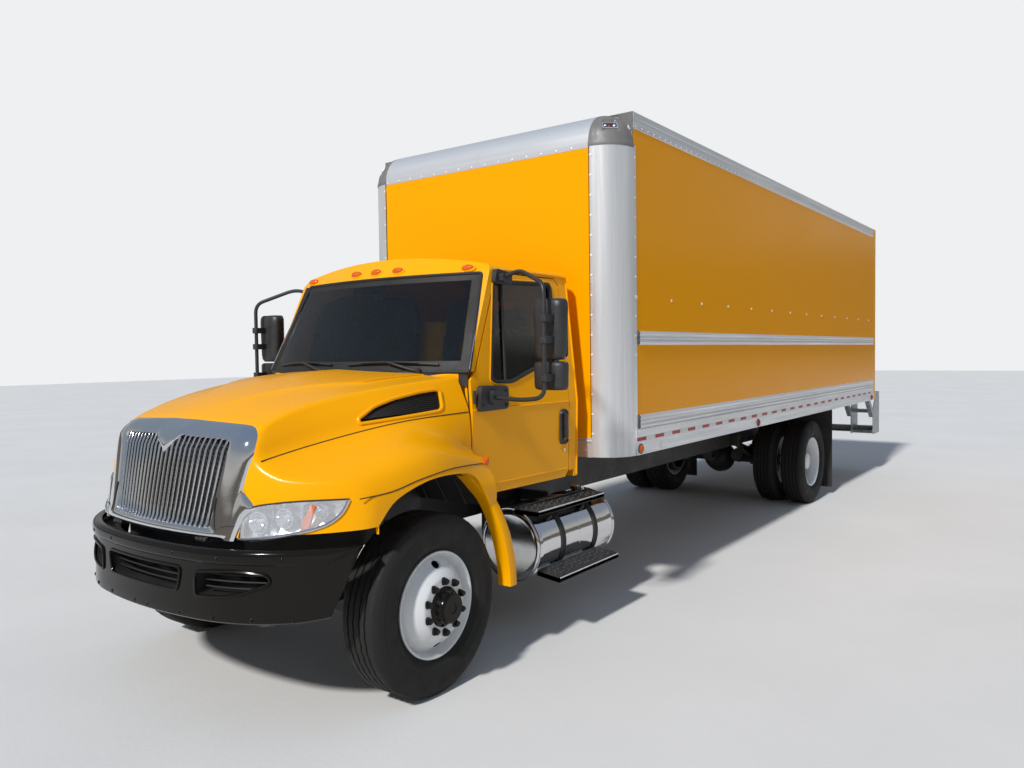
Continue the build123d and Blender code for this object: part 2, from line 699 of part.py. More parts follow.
# Engine, gearbox and propeller shaft; radiator
shaft_radius = 45
shaft_z = 760
with BuildPart() as powertrain:
    block((-250, 250), (560, 1400), (860, 1420))
    block((-200, 200), (600, 1300), (690, 860))
    block((-120, 120), (520, 560), (900, 1300))
    block((-160, 160), (1400, 1540), (760, 1200))
    block((-150, 150), (1540, 2150), (760, 1000))
    for side in (LEFT, RIGHT):
        block((side * 200, side * (half_frame - rail_gauge)), (900, 1000), (880, 960))
    lengthwise_rod(0, (2150, rear_axle_station - 230), shaft_z + 60, shaft_radius)
powertrain.part.label = "powertrain"
export_step(powertrain.part, "parts/powertrain.step")

radiator_half = 345
with BuildPart() as radiator:
    block((-radiator_half, radiator_half), (330, 400), (860, 1420))
    for side in (LEFT, RIGHT):
        block((side * (radiator_half - 10), side * half_frame), (330, 400),
              (frame_top, frame_top + 40))
    with BuildSketch(section_plane(400)):
        with Locations((0, 1250)):
            Circle(30)
    extrude(amount=-120)
radiator.part.label = "radiator"
export_step(radiator.part, "parts/radiator.step")

# Front axle: a dropped beam with kingpins and its leaf springs
kingpin_x = 870
kingpin_radius = 18
kingpin_boss = 42
hub_z = tyre_radius
beam_top = 440
fork_half_height = 95
spring_x = 400
spring_width = 76
with BuildPart() as front_axle:
    front_prism([(-kingpin_x, hub_z - 50), (-760, hub_z - 60), (-620, 350), (620, 350),
                 (760, hub_z - 60), (kingpin_x, hub_z - 50), (kingpin_x, hub_z + 50),
                 (740, hub_z + 50), (600, beam_top), (-600, beam_top), (-740, hub_z + 50),
                 (-kingpin_x, hub_z + 50)],
                (front_axle_station - 40, front_axle_station + 40))
    for side in (LEFT, RIGHT):
        upright_rod(side * kingpin_x, front_axle_station, (hub_z - 50, hub_z + 50), kingpin_boss)
        upright_rod(side * kingpin_x, front_axle_station,
                    (hub_z - fork_half_height, hub_z + fork_half_height), kingpin_radius)
        block((side * (spring_x - 40), side * (spring_x + 40)),
              (front_axle_station - 110, front_axle_station + 110), (beam_top, beam_top + 70))
        side_prism([(330, frame_bottom), (330, 690), (700, 545), (front_axle_station, 490),
                    (1350, 545), (1700, 690), (1700, frame_bottom), (1660, frame_bottom),
                    (1340, 580), (front_axle_station, 527), (710, 580), (370, frame_bottom)],
                   (side * (spring_x - spring_width / 2), side * (spring_x + spring_width / 2)))
front_axle.part.label = "front_axle"
export_step(front_axle.part, "parts/front_axle.step")

# Knuckles turn about the kingpins and carry the spindles; a tie rod joins their arms
spindle_radius = 38
arm_pivot_x = kingpin_x
arm_pivot_station = 1196
arm_gauge = 35
ball_radius = 12
open_end_clearance = 2
front_wheel_x = front_track / 2
spindle_end = 1130
for side, hand in ((LEFT, "left"), (RIGHT, "right")):
    with BuildPart() as knuckle:
        for low, high in ((-fork_half_height, -55), (55, fork_half_height)):
            upright_rod(side * kingpin_x, front_axle_station, (hub_z + low, hub_z + high),
                        kingpin_boss)
            block((side * kingpin_x, side * 950), (front_axle_station - 42, front_axle_station + 42),
                  (hub_z + low, hub_z + high))
        block((side * 920, side * 950), (front_axle_station - 60, front_axle_station + 60),
              (hub_z - fork_half_height, hub_z + fork_half_height))
        cross_rod((side * 940, side * spindle_end), front_axle_station, hub_z, spindle_radius)
        upright_rod(side * kingpin_x, front_axle_station,
                    (hub_z - fork_half_height, hub_z + fork_half_height),
                    kingpin_radius + running_clearance, mode=Mode.SUBTRACT)
        with BuildSketch(plan_plane(hub_z - fork_half_height)) as arm:
            Polygon((side * (kingpin_x - 38), front_axle_station + 20),
                    (side * (kingpin_x + 30), front_axle_station + 20),
                    (side * (arm_pivot_x + 26), arm_pivot_station + 20),
                    (side * (arm_pivot_x - 26), arm_pivot_station + 20), align=None)
        extrude(amount=arm_gauge)
        upright_rod(side * arm_pivot_x, arm_pivot_station,
                    (hub_z - fork_half_height - 45, hub_z - fork_half_height + 10), ball_radius)
        upright_rod(side * kingpin_x, front_axle_station,
                    (hub_z - fork_half_height - 5, hub_z - fork_half_height + 60),
                    kingpin_radius + running_clearance, mode=Mode.SUBTRACT)
    knuckle.part.label = f"knuckle_{hand}"
    export_step(knuckle.part, f"parts/knuckle_{hand}.step")

rod_z = hub_z - fork_half_height - 25
with BuildPart() as tie_rod:
    cross_rod((-arm_pivot_x + 24, arm_pivot_x - 24), arm_pivot_station, rod_z, 14)
    for side in (LEFT, RIGHT):
        upright_rod(side * arm_pivot_x, arm_pivot_station, (rod_z - 18, rod_z + 18), 26)
    upright_rod(arm_pivot_x, arm_pivot_station, (rod_z - 40, rod_z + 40),
                ball_radius + running_clearance, mode=Mode.SUBTRACT)
    upright_rod(-arm_pivot_x, arm_pivot_station, (rod_z - 40, rod_z + 40),
                ball_radius + open_end_clearance, mode=Mode.SUBTRACT)
tie_rod.part.label = "tie_rod"
export_step(tie_rod.part, "parts/tie_rod.step")

# Tyres and rims; sections are given as distances from the wheel's middle plane and radii
tyre_profile = [(-98, bead_seat_radius + seat_clearance), (98, bead_seat_radius + seat_clearance),
                (100, 312), (128, 345), (tyre_width / 2, 395), (134, 450), (116, 492), (104, 506),
                (90, tyre_radius), (-90, tyre_radius), (-104, 506), (-116, 492), (-134, 450),
                (-tyre_width / 2, 395), (-128, 345), (-100, 312)]
groove_places = (-62, -22, 22, 62)
groove_width = 9
groove_depth = 12
rim_profile = [(-100, 276), (100, 276), (104, 290), (113, 292), (113, flange_radius),
               (99, flange_radius), (98.5, bead_seat_radius), (-98.5, bead_seat_radius),
               (-99, flange_radius), (-113, flange_radius), (-113, 292), (-104, 290)]
front_disc = [(60, 280), (72, 262), (130, 200), (151, 170), (151, 40), (163, 40), (163, 172),
              (142, 206), (84, 270), (75, 280)]
hand_hole_circle = 226
hand_hole = (62, 38)
nut_circle = 142.9
nut_radius = 17
front_hub = [(-45, spindle_radius + running_clearance), (-45, 85), (60, 95), (151, 110),
             (163, 110), (215, 96), (228, 80), (228, 0), (110, 0),
             (110, spindle_radius + running_clearance)]


def spun(profile, x, side, station):
    """Solid of revolution about a wheel's axis at an axle."""
    with BuildPart() as part:
        plane = Plane(origin=(side * x, y(station), hub_z), x_dir=(side, 0, 0),
                      z_dir=(0, -side, 0))
        with BuildSketch(plane):
            Polygon(*profile, align=None)
        revolve(axis=Axis((0, y(station), hub_z), (1, 0, 0)))
    return part.part


def tyre_solid(x, side, station):
    """Tyre with four grooves round its tread."""
    with BuildPart() as part:
        add(spun(tyre_profile, x, side, station))
        for place in groove_places:
            ring = [(place - groove_width / 2, tyre_radius - groove_depth),
                    (place + groove_width / 2, tyre_radius - groove_depth),
                    (place + groove_width / 2, tyre_radius + 5),
                    (place - groove_width / 2, tyre_radius + 5)]
            add(spun(ring, x, side, station), mode=Mode.SUBTRACT)
    return part.part


def wheel_holes(x_span, station, radius, size, count, mode):
    """Ring of holes or studs round an axle, across a span of x."""
    x0, x1 = sorted(x_span)
    plane = Plane(origin=(x0, y(station), hub_z), x_dir=(0, 1, 0), z_dir=(1, 0, 0))
    with BuildSketch(plane) as ring:
        with PolarLocations(radius, count, 90):
            if isinstance(size, tuple):
                SlotOverall(size[0], size[1], rotation=90)
            else:
                Circle(size)
    extrude(ring.sketch, amount=x1 - x0, mode=mode)


for side, hand in ((LEFT, "left"), (RIGHT, "right")):
    tyre = tyre_solid(front_wheel_x, side, front_axle_station)
    tyre.label = f"tyre_front_{hand}"
    export_step(tyre, f"parts/tyre_front_{hand}.step")
    with BuildPart() as rim:
        add(spun(rim_profile, front_wheel_x, side, front_axle_station))
        add(spun(front_disc, front_wheel_x, side, front_axle_station))
        wheel_holes((side * (front_wheel_x + 60), side * (front_wheel_x + 200)),
                    front_axle_station, hand_hole_circle, hand_hole, 2, Mode.SUBTRACT)
        add(spun(front_hub, front_wheel_x, side, front_axle_station))
        wheel_holes((side * (front_wheel_x + 150), side * (front_wheel_x + 190)),
                    front_axle_station, nut_circle, nut_radius, 10, Mode.ADD)
    rim.part.label = f"rim_front_{hand}"
    export_step(rim.part, f"parts/rim_front_{hand}.step")

rear_disc = [(-58, 280), (-73, 262), (-128, 205), (-161, 172), (-171, 172), (-171, 90), (-159, 90),
             (-159, 166), (-118, 198), (-62, 256), (-48, 280)]
rear_hub = [(-75, 62), (-75, 120), (12, 120), (12, 105), (150, 100), (230, 88), (240, 75),
            (240, 0), (200, 0), (200, 62)]
rear_outer_x = dual_middle + dual_spacing / 2
rear_inner_x = dual_middle - dual_spacing / 2
axle_tube_radius = 62 - running_clearance
for side, hand in ((LEFT, "left"), (RIGHT, "right")):
    for x, place in ((rear_outer_x, "outer"), (rear_inner_x, "inner")):
        tyre = tyre_solid(x, side, rear_axle_station)
        tyre.label = f"tyre_rear_{hand}_{place}"
        export_step(tyre, f"parts/tyre_rear_{hand}_{place}.step")
    with BuildPart() as rim:
        add(spun(rim_profile, rear_outer_x, side, rear_axle_station))
        add(spun(rear_disc, rear_outer_x, side, rear_axle_station))
        add(spun(rim_profile, rear_inner_x, side, rear_axle_station))
        add(spun([(-x, r) for x, r in rear_disc], rear_inner_x, side, rear_axle_station))
        wheel_holes((side * (dual_middle - 200), side * (dual_middle + 200)), rear_axle_station,
                    hand_hole_circle, hand_hole, 5, Mode.SUBTRACT)
        add(spun(rear_hub, dual_middle, side, rear_axle_station))
        wheel_holes((side * (dual_middle + 5), side * (dual_middle + 50)), rear_axle_station,
                    nut_circle, nut_radius, 10, Mode.ADD)
    rim.part.label = f"rims_rear_{hand}"
    export_step(rim.part, f"parts/rims_rear_{hand}.step")

# Rear axle: tube, differential casing and leaf springs
with BuildPart() as rear_axle:
    cross_rod((-dual_middle - 190, dual_middle + 190), rear_axle_station, hub_z, axle_tube_radius)
    with Locations((0, y(rear_axle_station), hub_z)):
        Sphere(200)
    lengthwise_rod(0, (rear_axle_station - 330, rear_axle_station), hub_z + 60, 95)
    block((-60, 60), (rear_axle_station - 420, rear_axle_station - 300), (hub_z + 20, hub_z + 140))
    for side in (LEFT, RIGHT):
        block((side * 440, side * 530), (rear_axle_station - 90, rear_axle_station + 90),
              (hub_z - 70, hub_z + 70))
        side_prism([(rear_axle_station - 720, 760), (rear_axle_station - 300, 610),
                    (rear_axle_station - 90, 560), (rear_axle_station + 90, 560),
                    (rear_axle_station + 300, 610), (rear_axle_station + 720, 760),
                    (rear_axle_station + 720, 800), (rear_axle_station + 300, 680),
                    (rear_axle_station - 300, 680), (rear_axle_station - 720, 800)],
                   (side * 446, side * 524))
        for station in (rear_axle_station - 700, rear_axle_station + 700):
            block((side * half_frame, side * 524), (station - 50, station + 50), (740, 860))
rear_axle.part.label = "rear_axle"
export_step(rear_axle.part, "parts/rear_axle.step")

# Fuel tank with straps, and its steps; a mirrored step box for the exhaust on the right
tank_centre = (875, 605)
tank_radius = 255
tank_stations = (2050, 3040)
strap_stations = (2330, 2760)
with BuildPart() as fuel_tank:
    lengthwise_rod(tank_centre[0], tank_stations, tank_centre[1], tank_radius)
    fillet(fuel_tank.edges().filter_by(GeomType.CIRCLE), 22)
    upright_rod(900, 2880, (700, 905), 42)
fuel_tank.part.label = "fuel_tank"
export_step(fuel_tank.part, "parts/fuel_tank.step")

with BuildPart() as tank_steps:
    for station in strap_stations:
        lengthwise_rod(tank_centre[0], (station - 26, station + 26), tank_centre[1],
                       tank_radius + 8)
        block((half_frame, tank_centre[0]), (station - 26, station + 26), (770, 855))
        block((half_frame, 480), (station - 26, station + 26), (560, 855))
        block((half_frame, 660), (station - 26, station + 26), (560, 620))
        block((1000, 1110), (station - 26, station + 26), (760, 860))
        block((980, 1230), (station - 26, station + 26), (425, 465))
        block((950, 1010), (station - 26, station + 26), (340, 465))
    block((925, 1140), (2039, 2976), (852, 874))
    block((1110, 1290), (2035, 2812), (440, 490))
    upright_rod(900, 2880, (840, 910), 50, mode=Mode.SUBTRACT)
    lengthwise_rod(tank_centre[0], tank_stations, tank_centre[1], tank_radius, mode=Mode.SUBTRACT)
tank_steps.part.label = "tank_steps"
export_step(tank_steps.part, "parts/tank_steps.step")

with BuildPart() as exhaust_box:
    block((-1080, -520), (2050, 2560), (470, 860))
    fillet(exhaust_box.edges().filter_by(Axis.Y), 60)
    for station in (2120, 2480):
        block((-half_frame, -560), (station - 30, station + 30), (760, 840))
    block((-1290, -1050), (2035, 2600), (440, 490))
    block((-1140, -900), (2035, 2600), (855, 880))
    lengthwise_rod(-700, (2560, 3300), 640, 55)
    block((-700, -half_frame), (3180, 3220), (690, 760))
    with Locations((-700, y(3200), 640)):
        Cylinder(62, 40, rotation=(90, 0, 0))
exhaust_box.part.label = "exhaust_box"
export_step(exhaust_box.part, "parts/exhaust_box.step")

# Load body: sills and crossmembers under a floor
sill_width = 70
crossmember_pitch = 609.6
crossmember_width = 60
crossmember_setback = 230
crossmember_count = 13
inner_front = body_front + panel_gauge
with BuildPart() as box_floor:
    block((-half_inside, half_inside), (inner_front, body_back - rear_post_depth),
          (floor_bottom, floor_top))
    floor_corners = box_floor.edges().filter_by(Axis.Z).group_by(Axis.Y)[0]
    fillet(floor_corners, corner_radius - corner_gauge + 2)
    for side in (LEFT, RIGHT):
        block((side * (half_frame - sill_width), side * half_frame), (inner_front, body_back - 60),
              (frame_top, body_bottom))
    for index in range(crossmember_count):
        station = inner_front + crossmember_setback + index * crossmember_pitch
        block((-half_inside, half_inside), (station, station + crossmember_width),
              (body_bottom, floor_bottom))
box_floor.part.label = "box_floor"
export_step(box_floor.part, "parts/box_floor.step")

# Load body: front wall, side walls and roof
with BuildPart() as box_front_wall:
    block((-(half_body - corner_radius), half_body - corner_radius),
          (body_front, body_front + panel_gauge), (body_bottom, body_top - corner_radius))
box_front_wall.part.label = "box_front_wall"
export_step(box_front_wall.part, "parts/box_front_wall.step")

for side, hand in ((LEFT, "left"), (RIGHT, "right")):
    with BuildPart() as box_side_wall:
        block((side * half_inside, side * half_body),
              (body_front + corner_radius, body_back - rear_post_depth),
              (body_bottom, body_top - top_rail_height))
    box_side_wall.part.label = f"box_{hand}_wall"
    export_step(box_side_wall.part, f"parts/box_{hand}_wall.step")

with BuildPart() as box_roof:
    block((10 - half_inside, half_inside - 10),
          (body_front + corner_radius, body_back - rear_post_depth), (body_top - 30, body_top - 10))
box_roof.part.label = "box_roof"
export_step(box_roof.part, "parts/box_roof.step")

# Rounded corner posts, the rounded front header and its two corner caps
inner_corner = corner_radius - corner_gauge
corner_x = half_body - corner_radius
corner_station = body_front + corner_radius
corner_z = body_top - corner_radius
for side, hand in ((LEFT, "left"), (RIGHT, "right")):
    with BuildPart() as corner_post:
        upright_rod(side * corner_x, corner_station, (body_bottom, corner_z), corner_radius)
        upright_rod(side * corner_x, corner_station, (body_bottom - 1, corner_z + 1), inner_corner,
                    mode=Mode.SUBTRACT)
        block((side * corner_x, side * half_body), (body_front, corner_station),
              (body_bottom, corner_z), mode=Mode.INTERSECT)
    corner_post.part.label = f"corner_post_{hand}"
    export_step(corner_post.part, f"parts/corner_post_{hand}.step")

with BuildPart() as front_header:
    cross_rod((-corner_x, corner_x), corner_station, corner_z, corner_radius)
    for side in (LEFT, RIGHT):
        with Locations((side * corner_x, y(corner_station), corner_z)):
            Sphere(corner_radius)
    cross_rod((-corner_x, corner_x), corner_station, corner_z, inner_corner, mode=Mode.SUBTRACT)
    for side in (LEFT, RIGHT):
        with Locations((side * corner_x, y(corner_station), corner_z)):
            Sphere(inner_corner, mode=Mode.SUBTRACT)
    block((-half_body, half_body), (body_front, corner_station), (corner_z, body_top),
          mode=Mode.INTERSECT)
front_header.part.label = "front_header"
export_step(front_header.part, "parts/front_header.step")

# Aluminium rails along the sides: top rail, two rub rails and the bottom rail
rail_front = corner_station
rail_back = body_back - rear_post_depth
rub_front = body_front + 300
for side, hand in ((LEFT, "left"), (RIGHT, "right")):
    with BuildPart() as side_rails:
        block((side * (half_inside - 10), side * half_body), (rail_front, rail_back),
              (body_top - top_rail_height, body_top))
        for z in (upper_rub_rail, lower_rub_rail):
            with BuildSketch(section_plane(rub_front)) as rub:
                Polygon((side * half_body, z), (side * (half_body + rub_rail_depth), z + 14),
                        (side * (half_body + rub_rail_depth), z + rub_rail_height - 14),
                        (side * half_body, z + rub_rail_height), align=None)
            extrude(rub.sketch, amount=rub_front - rail_back)
        block((side * half_body, side * (half_body + side_rail_depth)), (rail_front, rail_back),
              (body_bottom, lower_rub_rail))
    side_rails.part.label = f"side_rails_{hand}"
    export_step(side_rails.part, f"parts/side_rails_{hand}.step")

# Rear frame, roll-up door and rear guard
door_half = half_body - rear_post_width
door_top = body_top - rear_header_height
rear_door_depth = 22
slat_pitch = 280
with BuildPart() as rear_frame:
    block((-half_body, half_body), (rail_back, body_back), (body_bottom, body_top))
    block((-door_half, door_half), (rail_back - 5, body_back + 5), (floor_top, door_top),
          mode=Mode.SUBTRACT)
rear_frame.part.label = "rear_frame"
export_step(rear_frame.part, "parts/rear_frame.step")

with BuildPart() as rear_door:
    block((-door_half, door_half), (rail_back + 15, rail_back + 15 + rear_door_depth),
          (floor_top, door_top))
    for index in range(1, 8):
        seam_z = floor_top + index * slat_pitch
        block((-door_half, door_half), (rail_back + 33, rail_back + 38), (seam_z - 5, seam_z + 5),
              mode=Mode.SUBTRACT)
    block((-120, 120), (rail_back + 37, rail_back + 55), (floor_top + 60, floor_top + 120))
rear_door.part.label = "rear_door"
export_step(rear_door.part, "parts/rear_door.step")

step_end = body_back + rear_step_depth
step_bottom = 600
step_inner = 960
step_plate = 10
step_treads = (600, 915)
beam_size = 100
step_lead = 110
brace_width = 60
with BuildPart() as rear_guard:
    block((-half_body, half_body), (body_back, step_end), (floor_top - step_plate, floor_top))
    block((-half_body, half_body), (step_end - step_plate, step_end), (floor_top - 100, floor_top))
    block((-half_body, half_body), (body_back, body_back + step_plate),
          (floor_top - 100, floor_top))
    block((-half_body, half_body), (step_end - beam_size, step_end),
          (step_bottom, step_bottom + beam_size))
    block((-step_inner, step_inner), (step_end - beam_size, step_end - step_plate),
          (step_bottom + step_plate, step_bottom + beam_size - step_plate), mode=Mode.SUBTRACT)
    for side in (LEFT, RIGHT):
        for x in (half_body, step_inner + step_plate):
            side_prism([(body_back, floor_top), (step_end, floor_top), (step_end, step_bottom),
                        (body_back - step_lead, step_bottom), (body_back - step_lead, 1000),
                        (body_back, body_bottom)],
                       (side * (x - step_plate), side * x))
            side_prism([(body_back - step_lead, 860), (body_back - step_lead, 960),
                        (body_back - 300, body_bottom), (body_back - 400, body_bottom)],
                       (side * (x - brace_width), side * x))
        for z in step_treads:
            block((side * step_inner, side * half_body), (body_back + 20, step_end), (z, z + 40))
rear_guard.part.label = "rear_guard"
export_step(rear_guard.part, "parts/rear_guard.step")

# Mud flaps behind the rear wheels, hung from the tail of a crossmember of the load body
flap_x = (640, 1245)
flap_foot_z = 95
flap_gauge = 12
flap_crossmember = 9
flap_back = (inner_front + crossmember_setback + flap_crossmember * crossmember_pitch
             + crossmember_width)
with BuildPart() as mud_flap_left:
    block(flap_x, (flap_back - flap_gauge, flap_back), (flap_foot_z, body_bottom))
mud_flap_left.part.label = "mud_flap_left"
export_step(mud_flap_left.part, "parts/mud_flap_left.step")
with BuildPart() as mud_flap_right:
    add(mirror(mud_flap_left.part, about=Plane.YZ, mode=Mode.PRIVATE))
mud_flap_right.part.label = "mud_flap_right"
export_step(mud_flap_right.part, "parts/mud_flap_right.step")
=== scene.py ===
import json
import math
import bmesh
import bpy
from mathutils import Matrix, Vector


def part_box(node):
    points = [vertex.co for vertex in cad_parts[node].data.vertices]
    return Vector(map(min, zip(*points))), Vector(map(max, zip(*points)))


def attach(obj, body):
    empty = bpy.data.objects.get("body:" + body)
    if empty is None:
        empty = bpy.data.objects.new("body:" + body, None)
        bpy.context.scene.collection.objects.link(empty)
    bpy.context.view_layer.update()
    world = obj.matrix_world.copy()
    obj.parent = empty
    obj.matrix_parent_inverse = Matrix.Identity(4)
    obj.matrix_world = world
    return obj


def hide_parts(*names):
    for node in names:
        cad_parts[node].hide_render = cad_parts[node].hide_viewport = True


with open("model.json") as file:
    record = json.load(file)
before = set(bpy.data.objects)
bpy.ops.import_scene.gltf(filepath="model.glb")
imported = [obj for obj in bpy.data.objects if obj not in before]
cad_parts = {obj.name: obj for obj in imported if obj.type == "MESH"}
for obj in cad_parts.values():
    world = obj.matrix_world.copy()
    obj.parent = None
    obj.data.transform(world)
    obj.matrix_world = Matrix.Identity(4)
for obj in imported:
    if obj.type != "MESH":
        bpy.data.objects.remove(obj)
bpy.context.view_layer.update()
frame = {"nodes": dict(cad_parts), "record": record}
nodes = frame["nodes"]

# Places are given as in the part: millimetres, x to the truck's left, a station behind the
# grille's foot, and z up. The scene itself is in metres with its origin under the middle.
MM = 0.001
SIDES = ((1, "left"), (-1, "right"))
AHEAD, REARWARD, UPWARD = (0, -1, 0), (0, 1, 0), (0, 0, 1)
body_front = 2858
front_sheet = body_front - 2.5
body_back = 10883
half_body = 1285
body_top = 3690
corner_radius = 244
panel_pitch = 609.6
rub_rails = (1960, 1325)
rail_face = 1296
cab_back = 2718
belt_z = 1560
screen_low = 1798
screen_high = 2434
hood_half = 975
bumper_half = 1150
front_axle_station = 1016
rear_axle_station = 7925
hub_z = 510
front_wheel_x = 1025
rear_outer_x = 1086
rear_inner_x = 743
rear_hub_x = (rear_outer_x + rear_inner_x) / 2
tank_x = 875
tank_z = 605
tank_radius = 255
frame_rail_x = 431
middle_station = body_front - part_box("box_front_wall")[0][1] / MM


def at(x, station, z):
    """A place in the truck as a point in the scene."""
    return Vector((x * MM, (station - middle_station) * MM, z * MM))


# Shapes
class Shape:
    """Faces gathered in truck millimetres, each with the number of its material."""

    def __init__(self):
        self.points, self.faces, self.looks = [], [], []

    def add(self, points, faces, look=0):
        """Points, and faces that count within them."""
        start = len(self.points)
        self.points += [tuple(p) for p in points]
        self.faces += [tuple(start + i for i in face) for face in faces]
        self.looks += [look] * len(faces)

    def skin(self, rows, around=False, close=False, look=0):
        """Faces between rows of points; around joins a row's ends, close the last row to the first."""
        wide = len(rows[0])
        faces = []
        for r in range(len(rows) - (0 if close else 1)):
            below = (r + 1) % len(rows)
            for c in range(wide - (0 if around else 1)):
                d = (c + 1) % wide
                faces.append((r * wide + c, r * wide + d, below * wide + d, below * wide + c))
        self.add([p for row in rows for p in row], faces, look)

    def solid(self, rows, look=0):
        """Closed rings one after another, with both ends filled."""
        self.skin(rows, around=True, look=look)
        self.add(rows[0], [tuple(range(len(rows[0])))], look)
        self.add(rows[-1], [tuple(range(len(rows[-1])))], look)

    def box(self, x, station, z, look=0):
        """A block over three spans."""
        (x0, x1), (s0, s1), (z0, z1) = sorted(x), sorted(station), sorted(z)
        ring = [(x0, s0), (x1, s0), (x1, s1), (x0, s1)]
        self.solid([[(a, b, level) for a, b in ring] for level in (z0, z1)], look)

    def tube(self, path, radius, sides=12, look=0):
        """Round bar along a list of points, with its ends filled."""
        path = [Vector(p) for p in path]
        rows = []
        across = None
        for i, point in enumerate(path):
            ahead = (path[min(i + 1, len(path) - 1)] - path[max(i - 1, 0)]).normalized()
            if across is None:
                across = ahead.orthogonal().normalized()
            across = (across - ahead * across.dot(ahead)).normalized()
            other = ahead.cross(across)
            size = radius[i] if isinstance(radius, (list, tuple)) else radius
            rows.append([point + across * math.cos(a) * size + other * math.sin(a) * size
                         for a in turns(sides)])
        self.solid(rows, look)

    def turn(self, profile, centre, axis, steps, look=0, close=False):
        """Turned about an axis, from (distance along the axis, radius)."""
        axis = Vector(axis).normalized()
        across = axis.orthogonal().normalized()
        other = axis.cross(across)
        rows = [[Vector(centre) + axis * a + (across * math.cos(t) + other * math.sin(t)) * r
                 for t in turns(steps)] for a, r in profile]
        self.skin(rows, around=True, close=close, look=look)

    def prism(self, outline, span, plane, look=0):
        """An outline carried across a span; the plane names its two axes, such as sz or xz."""
        rows = []
        for level in span:
            ring = []
            for a, b in outline:
                spot = {plane[0]: a, plane[1]: b}
                ring.append(tuple(spot.get(axis, level) for axis in "xsz"))
            rows.append(ring)
        self.solid(rows, look)


def turns(steps, start=0.0):
    """Angles evenly round a circle."""
    return [start + 2 * math.pi * i / steps for i in range(steps)]


def smooth_line(points, steps=8):
    """A smooth line through a list of points or tuples of any width."""
    line = []
    ends = [points[0]] + list(points) + [points[-1]]
    for i in range(1, len(ends) - 2):
        for k in range(steps):
            line.append(tuple(catmull(ends[i - 1][j], ends[i][j], ends[i + 1][j], ends[i + 2][j],
                                      k / steps) for j in range(len(points[0]))))
    line.append(tuple(points[-1]))
    return line


def catmull(a, b, c, d, t):
    """A value between b and c on the smooth curve through four values."""
    return b + 0.5 * t * (c - a + t * (2 * a - 5 * b + 4 * c - d + t * (3 * (b - c) + d - a)))


def corner_arc(before, corner, after, radius, most, steps):
    """Points round a corner; the arc takes at most a share of the sides next to it."""
    before, corner, after = Vector(before), Vector(corner), Vector(after)
    reach = min(radius, (before - corner).length * most, (after - corner).length * most)
    start = corner + (before - corner).normalized() * reach
    end = corner + (after - corner).normalized() * reach
    shares = [k / steps for k in range(steps + 1)]
    return [start * (1 - t) ** 2 + corner * 2 * t * (1 - t) + end * t * t for t in shares]


def rounded(outline, radius, steps=5):
    """A flat outline with its corners rounded."""
    ring = []
    for i, corner in enumerate(outline):
        arc = corner_arc(outline[i - 1], corner, outline[(i + 1) % len(outline)], radius, 0.45, steps)
        ring += [tuple(p) for p in arc]
    return ring


def bend(points, radius, steps=6):
    """A line of straight runs with its corners rounded."""
    line = [Vector(points[0])]
    for before, corner, after in zip(points, points[1:], points[2:]):
        line += corner_arc(before, corner, after, radius, 0.48, steps)
    return line + [Vector(points[-1])]


def oblong(wide, high, radius, steps=5):
    """A rounded rectangle over two spans."""
    (a, b), (c, d) = wide, high
    return rounded([(a, c), (b, c), (b, d), (a, d)], radius, steps)


def middle_of(outline):
    """The mean of a flat outline's points."""
    return [sum(p[j] for p in outline) / len(outline) for j in (0, 1)]


def scaled(outline, middle, wide, high=None):
    """A flat outline drawn towards a middle or away from it."""
    high = wide if high is None else high
    return [(middle[0] + (a - middle[0]) * wide, middle[1] + (b - middle[1]) * high) for a, b in outline]


def between(low, high, share):
    """A flat line a share of the way from one line to another."""
    return [(a + (c - a) * share, b + (d - b) * share) for (a, b), (c, d) in zip(low, high)]


def flipped(points, side):
    """Points on one side of the truck or the other, from their x and what follows it."""
    return [(side * x, *rest) for x, *rest in points]


def mesh_object(name, shape, looks, crease):
    """A shape as an object, with edges sharper than the crease kept sharp."""
    mesh = bpy.data.meshes.new(name)
    mesh.from_pydata([at(*p) for p in shape.points], [], shape.faces)
    mesh.polygons.foreach_set("material_index", shape.looks)
    for look in looks:
        mesh.materials.append(look)
    work = bmesh.new()
    work.from_mesh(mesh)
    bmesh.ops.remove_doubles(work, verts=work.verts, dist=0.00005)
    bmesh.ops.recalc_face_normals(work, faces=work.faces)
    work.to_mesh(mesh)
    work.free()
    mesh.shade_smooth()
    mesh.set_sharp_from_angle(angle=math.radians(crease))
    thing = bpy.data.objects.new(name, mesh)
    bpy.context.collection.objects.link(thing)
    return thing


def cut(thing, shape):
    """Takes a closed shape out of a piece."""
    tool = mesh_object("tool", shape, [], 30)
    step = thing.modifiers.new("cut", "BOOLEAN")
    step.operation, step.solver, step.object = "DIFFERENCE", "EXACT", tool
    applied(thing)
    bpy.data.objects.remove(tool)


def cut_prism(thing, outline, span, plane):
    """Takes an outline carried across a span out of a piece."""
    opening = Shape()
    opening.prism(outline, span, plane)
    cut(thing, opening)


def walled(thing, thickness):
    """Gives an open skin walls of a thickness in metres."""
    walls = thing.modifiers.new("walls", "SOLIDIFY")
    walls.thickness, walls.offset = thickness, -1
    applied(thing)


def applied(thing, crease=32):
    """Turns a piece's modifiers into its own mesh."""
    graph = bpy.context.evaluated_depsgraph_get()
    graph.update()
    mesh = bpy.data.meshes.new_from_object(thing.evaluated_get(graph))
    thing.modifiers.clear()
    thing.data = mesh
    mesh.shade_smooth()
    mesh.set_sharp_from_angle(angle=math.radians(crease))


def piece(name, shape, looks, body, replaces=(), crease=32, bevel=0.0):
    """A named piece made from a shape, on its body."""
    return settled(mesh_object(name, shape, looks, crease), body, replaces, crease, bevel)


